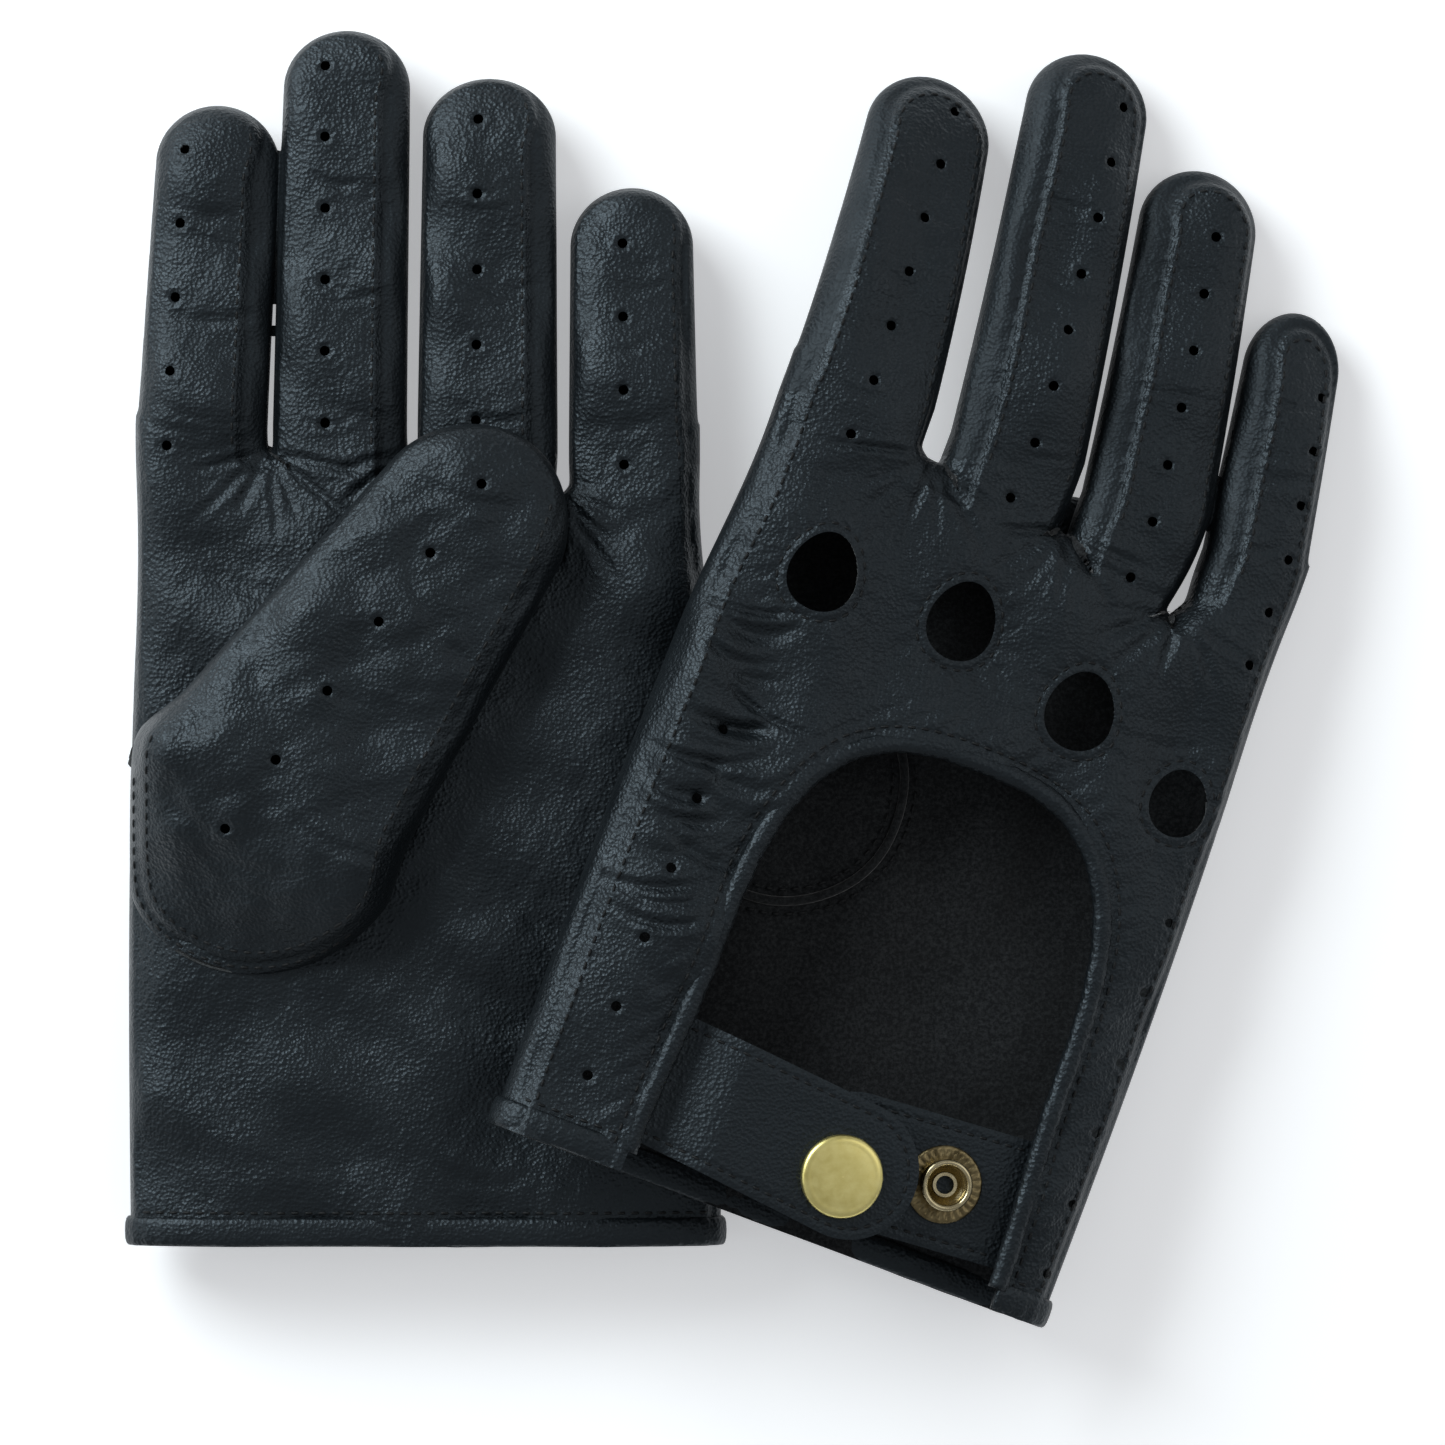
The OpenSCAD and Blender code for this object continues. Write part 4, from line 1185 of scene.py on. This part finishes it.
def build_stitches(glove, thumb, hand):
    side = glove.side
    on_hand = []
    on_finger = {name: [] for name in FINGERS}
    for face in (BACK, PALM):

        def level(u, v, face=face):
            return glove.level(face, u, v)

        for i, name in enumerate(FINGERS):
            u, v = finger_line(glove, face, i)
            along = glove.on_finger(i, u, v)[0]
            off = np.abs(glove.past_seam(face, u, v) - SEAM_INSET)
            good = (off < 0.3) & (glove.strip(face, u, v) > 1)
            for a, b in split_line((along > FOLD_FROM - 0.2) & good, u, v):
                on_finger[name] += stitches(glove.place, level, a, b, face)
        if face == BACK:
            vs = np.linspace(HEM_ROLL + 1, 146, 90)
            for sign in (-1, 1):
                us = sign * (hand_half_width(vs) - 3.5)
                u, v = settle(lambda a, b: glove.past_seam(BACK, a, b), us, vs, SEAM_INSET)
                on_hand += stitches(glove.place, level, u, v, face)
            u, v = window_line(2.9)
            on_hand += stitches(glove.place, level, u, v, face)
            for hole in KNUCKLES:
                turn = np.linspace(0, 2 * math.pi, 60)
                u = hole[0] + (hole[2] + SEAM_INSET) * np.cos(turn)
                v = hole[1] + (hole[3] + SEAM_INSET) * np.sin(turn)
                u, v = settle(lambda a, b: knuckle_depth(hole, a, b), u, v, -SEAM_INSET)
                on_hand += stitches(glove.place, level, u, v, face)
        reach = hand_half_width(np.float64(0)) - 2
        spans = [(-reach, reach)]
        if face == BACK:
            foot = WINDOW_HALF_W + 4.5
            spans = [(-reach, WINDOW_U - foot), (WINDOW_U + foot, reach)]
        for a, b in spans:
            us = np.linspace(a, b, 80)
            on_hand += stitches(glove.place, level, us, np.full(80, HEM_ROLL + 0.9), face)
    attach(sewn(f"{side}_hand_stitches", on_hand), hand)
    for i, name in enumerate(FINGERS):
        bend(glove, sewn(f"{side}_{name}_stitches", on_finger[name]), i)

    # Inside of the seam that sets the thumb into the palm, seen through the window
    def inside(r, s):
        return -(thumb.palm_height(r, s) - 0.8 - LEATHER_T)

    turn = np.linspace(-0.62 * math.pi, 0.42 * math.pi, 120)
    welt = []
    around = np.linspace(0, 2 * math.pi, 8, endpoint=False)
    for a in turn:
        radius = thumb.seam_r - 2 + 0.9 * np.cos(around)
        r, s = thumb.skew + radius * math.cos(a), radius * math.sin(a)
        welt.append(thumb.place(r, s, inside(r, s) + 0.7 * np.sin(around)))
    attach(cover(f"{side}_thumb_seam_welt", sweep(welt), [SUEDE], "leather_black"), hand)
    rows = []
    for radius in (thumb.seam_r - 4.2, thumb.seam_r + 0.4):
        r, s = thumb.skew + radius * np.cos(turn), radius * np.sin(turn)
        rows += stitches(thumb.place, inside, r, s, BACK, 0.2)
    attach(sewn(f"{side}_thumb_welt_stitches", rows), hand)

    # Thumb: two rows round the base seam, one along each side
    def top(r, s):
        return thumb.level(PALM, r, s)

    turn = np.linspace(-0.08 * math.pi, 1.08 * math.pi, 90)
    r = thumb.skew + (thumb.seam_r - 1) * np.cos(turn)
    s = -(thumb.seam_r + 1) * np.sin(turn)
    on_base, on_thumb = [], []
    for inset in (1.2, 3.9):
        a, b = settle(thumb.depth, r, s, inset)
        for run in split_line(b < THUMB_FOLD_FROM, a, b):
            on_base += stitches(thumb.place, top, run[0], run[1], PALM)
    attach(sewn(f"{side}_thumb_base_stitches", on_base), hand)
    up = np.linspace(THUMB_FOLD_FROM, thumb.l - THUMB_TIP_L, 70)
    turn = np.linspace(0, math.pi, 40)
    s = np.concatenate([up, thumb.l - THUMB_TIP_L + THUMB_TIP_L * np.sin(turn), up[::-1]])
    r = np.concatenate([np.ones(70), np.cos(turn), -np.ones(70)]) * 16 + thumb.skew
    a, b = settle(lambda x, y: thumb.depth(x, y) - thumb.strip(x, y), r, s, 1.4, 14)
    for run in split_line(thumb.strip(a, b) > 1, a, b):
        on_thumb += stitches(thumb.place, top, run[0], run[1], PALM)
    bend_thumb(thumb, sewn(f"{side}_thumb_stitches", on_thumb))


def build_straps(glove, mirrored, hand):
    side = glove.side

    def cap_depth(u, v):
        root = (STRAP_FOLD_U - 22, STRAP_ROOT_V)
        return np.minimum(
            strap_depth(u, v, root, STRAP_END, STRAP_HALF, STRAP_END_R),
            u - (STRAP_FOLD_U - 9.5),
        )

    def stud_depth(u, v):
        c, s = math.cos(STUD_STRAP_TURN), math.sin(STUD_STRAP_TURN)
        a = (STUD_AT[0] - STUD_STRAP_REACH * c, STUD_AT[1] - STUD_STRAP_REACH * s)
        b = (STUD_AT[0] + 30 * c, STUD_AT[1] + 30 * s)
        end = STUD_AT[0] + STUD_STRAP_REACH - u
        return np.minimum(strap_depth(u, v, a, b, STRAP_HALF, STRAP_HALF), end)

    def cap_level(u, v):
        rise = smooth(u, STRAP_FOLD_U - 1, STRAP_FOLD_U + 12)
        level = STRAP_FOLD_LEVEL + (STRAP_TOP_LEVEL - STRAP_FOLD_LEVEL) * rise
        return level + strap_relief(cap_depth(u, v))

    def stud_level(u, v):
        return STUD_STRAP_LEVEL + strap_relief(stud_depth(u, v))

    def strap_relief(depth):
        edge = -0.28 * bump(depth, 0.8) - 0.22 * bump(depth - 2.0, 0.55)
        return edge + 0.03

    straps = (
        ("cap_strap", cap_depth, cap_level, (-38, 0), (24, 36)),
        ("stud_strap", stud_depth, stud_level, (-4, 2), (48, 36)),
    )
    for name, depth, level, low, high in straps:
        sheet = Sheet(low, high, GRID, depth)
        whole = np.ones(sheet.keep.shape, bool)
        layers = []
        for drop in (0.0, STRAP_LAYER + STRAP_LAYER_GAP):

            def layer_level(u, v, drop=drop):
                return level(u, v) - drop

            sheet.rise(layer_level, glove.place, not mirrored)
            layers.append(sheet.part(whole, STRAP_LAYER))
        piece = cover(
            f"{side}_{name}_leather", join(layers), [STRAP, SUEDE, EDGE], "leather_strap"
        )
        a, b = settle(depth, *strap_line(name), 2.0, 14)
        rows = stitches(glove.place, level, a, b, BACK)
        thread_piece = sewn(f"{side}_{name}_stitches", rows)
        if name == "cap_strap":
            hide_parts(f"{side}_cap_strap", f"{side}_cap_strap_root")
            folds = (STRAP_FOLD_U - STRAP_FOLD_REACH, STRAP_FOLD_U + STRAP_FOLD_REACH)
            ends = [spot(glove.place, u, STRAP_ROOT_V) for u in folds]
            for moving in (piece, thread_piece):
                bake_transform(moving)
        else:
            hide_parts(f"{side}_stud_strap")
            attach(piece, hand)
            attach(thread_piece, hand)


def strap_line(name):
    """A line near a strap's edge, from one end of its long side round the end to the other."""
    turn = np.linspace(-math.pi / 2, math.pi / 2, 50)
    if name == "cap_strap":
        us = np.linspace(STRAP_FOLD_U - 6, STRAP_END[0], 40)
        mid = np.interp(us, [STRAP_FOLD_U - 6, STRAP_END[0]], [STRAP_ROOT_V, STRAP_END[1]])
        u = np.concatenate([us, STRAP_END[0] + 10 * np.cos(turn), us[::-1]])
        v = np.concatenate([mid - 10, STRAP_END[1] + 10 * np.sin(turn), (mid + 10)[::-1]])
        return u, v
    us = np.linspace(STUD_AT[0] + 13, STUD_AT[0] - STUD_STRAP_REACH, 40)
    mid = STUD_AT[1] + (us - STUD_AT[0]) * math.tan(STUD_STRAP_TURN)
    u = np.concatenate([us, us[-1] - 10 * np.cos(turn), us[::-1]])
    v = np.concatenate([mid - 10, mid[-1] + 10 * np.sin(turn), (mid + 10)[::-1]])
    return u, v


def profile(radius, base, *runs):
    """Section of a turned part, from runs of (how far in from radius, height over base)."""
    return [(radius - inset, base + height) for run in runs for inset, height in run]


def build_snap(glove, hand):
    side = glove.side
    top, low = STRAP_TOP_LEVEL, STUD_STRAP_LEVEL
    rim = profile(
        CAP_R,
        top,
        [(1.5, 0.1), (0.35, 0.02), (0, 0.45), (0, 1), (0.14, 1.42), (0.5, 1.72), (1.1, 1.86)],
        [(1.5, 1.84), (1.9, 1.88), (3.5, 1.95), (5.5, CAP_H), (CAP_R - 0.3, CAP_H)],
        [(CAP_R - 0.15, CAP_H), (CAP_R - 0.003, CAP_H), (CAP_R - 0.003, 1.3), (1.6, 1)],
    )
    part = spin(rim, CAP_AT, glove.place)
    piece = cover(f"{side}_cap_brass", part, [CAP_BRASS], "brass_satin", f"{side}_snap_cap")
    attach(piece, f"{side}_snap_strap")

    def dimple(r, h, angle):
        on_flange = bump(r - 6.1, 0.5) * (h > low + 0.4)
        return -0.35 * on_flange * max(0.0, math.cos(FLANGE_DIMPLES * angle))

    flange = profile(
        STUD_R,
        low,
        [(STUD_R - LIP_R + 0.6, 0.02), (0.2, 0.02), (0, 0.25), (0.05, 0.5), (0.35, 0.78)],
        [(0.8, 0.85), (1.2, 0.85), (1.6, 0.85), (2, 0.78)],
        [(STUD_R - LIP_R + 0.2, 0.7), (STUD_R - LIP_R + 0.5, 0.72)],
    )
    lip = profile(
        LIP_R,
        low,
        [(0.55, 0.5), (0.5, STUD_H - 1.4), (0.15, STUD_H - 1), (0, STUD_H - 0.7)],
        [(0.02, STUD_H - 0.4), (0.25, STUD_H - 0.08), (0.6, STUD_H), (0.95, STUD_H - 0.12)],
        [(1.15, STUD_H - 0.6), (1.3, 0.8), (LIP_R - 2.4, 0.65), (LIP_R - 2.35, 0.4)],
    )
    flange_part = spin(flange, STUD_AT, glove.place, 168, dimple)
    lip_part = spin(lip, STUD_AT, glove.place)
    lip_part[2][:] = 1
    part, brass = join([flange_part, lip_part]), [OLD_BRASS, LIP_BRASS]
    piece = cover(f"{side}_stud_brass", part, brass, "brass_antique", f"{side}_snap_stud")
    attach(piece, hand)


build_glove("left", 21)
build_glove("right", 57)

# CAD nodes that keep their shapes and only get a material
CARRIED_OVER = {"stud_eyelet": LIP_BRASS, "snap_socket": OLD_BRASS, "socket_spring": STEEL}
for node, material in CARRIED_OVER.items():
    for side in GLOVES:
        obj = bpy.data.objects[f"{side}_{node}"]
        obj.data.materials.clear()
        obj.data.materials.append(material)

# Face directions: every closed piece faces outwards
for obj in bpy.data.objects:
    if obj.type == "MESH" and obj.name.endswith(("roll", "stitches", "brass", "welt")):
        shape = bmesh.new()
        shape.from_mesh(obj.data)
        bmesh.ops.recalc_face_normals(shape, faces=shape.faces)
        shape.to_mesh(obj.data)
        shape.free()

# ---- floor, lights and camera ------------------------------------------------------------------

FLOOR_SIZE, FLOOR_Z, FLOOR_GLOW = 3.0, -0.0004, 0.4


def stage_floor():
    mesh = bpy.data.meshes.new("floor")
    h = FLOOR_SIZE / 2
    mesh.from_pydata([(-h, -h, 0), (h, -h, 0), (h, h, 0), (-h, h, 0)], [], [(0, 1, 2, 3)])
    floor = bpy.data.objects.new("floor", mesh)
    bpy.context.scene.collection.objects.link(floor)
    floor.location.z = FLOOR_Z
    look = Look("floor_white")
    mesh.materials.append(
        look.finish(
            Base_Color=(0.93, 0.935, 0.94, 1),
            Roughness=0.6,
            Specular_IOR_Level=0.2,
            Emission_Color=(0.97, 0.98, 1.0, 1),
            Emission_Strength=FLOOR_GLOW,
        )
    )


def area_light(name, at, size, watts, colour=(1, 1, 1)):
    data = bpy.data.lights.new(name, "AREA")
    data.shape = "RECTANGLE"
    data.size, data.size_y = size
    data.energy = watts
    data.color = colour
    lamp = bpy.data.objects.new(name, data)
    lamp.location = at
    lamp.rotation_euler = (Vector((0, 0, 0)) - Vector(at)).to_track_quat("-Z", "Y").to_euler()
    bpy.context.scene.collection.objects.link(lamp)


stage_floor()
area_light("key_upper_left", (-0.75, 0.7, 0.75), (0.8, 0.6), 13.5, (0.9, 0.97, 1.0))
area_light("strip_left", (-0.9, -0.1, 0.32), (0.35, 0.9), 0.8, (0.88, 0.96, 1.0))
area_light("fill_right", (0.85, 0.2, 0.8), (0.6, 0.9), 1.5)

WORLD_COLOUR, WORLD_STRENGTH = (0.95, 0.97, 1.0, 1), 0.3
world = bpy.data.worlds.new("soft_white")
world.use_nodes = True
background = world.node_tree.nodes["Background"].inputs
background["Color"].default_value = WORLD_COLOUR
background["Strength"].default_value = WORLD_STRENGTH
bpy.context.scene.world = world
bpy.context.scene.view_settings.view_transform = "Standard"

VIEW_W, VIEW_AT, VIEW_H, SENSOR_W = 0.2726, (-0.0021, -0.0086), 1.6, 36
camera_data = bpy.data.cameras.new("camera")
camera_data.sensor_width = SENSOR_W
camera_data.lens = SENSOR_W * VIEW_H / VIEW_W
camera = bpy.data.objects.new("camera", camera_data)
camera.location = (*VIEW_AT, VIEW_H)
bpy.context.scene.collection.objects.link(camera)
bpy.context.scene.camera = camera
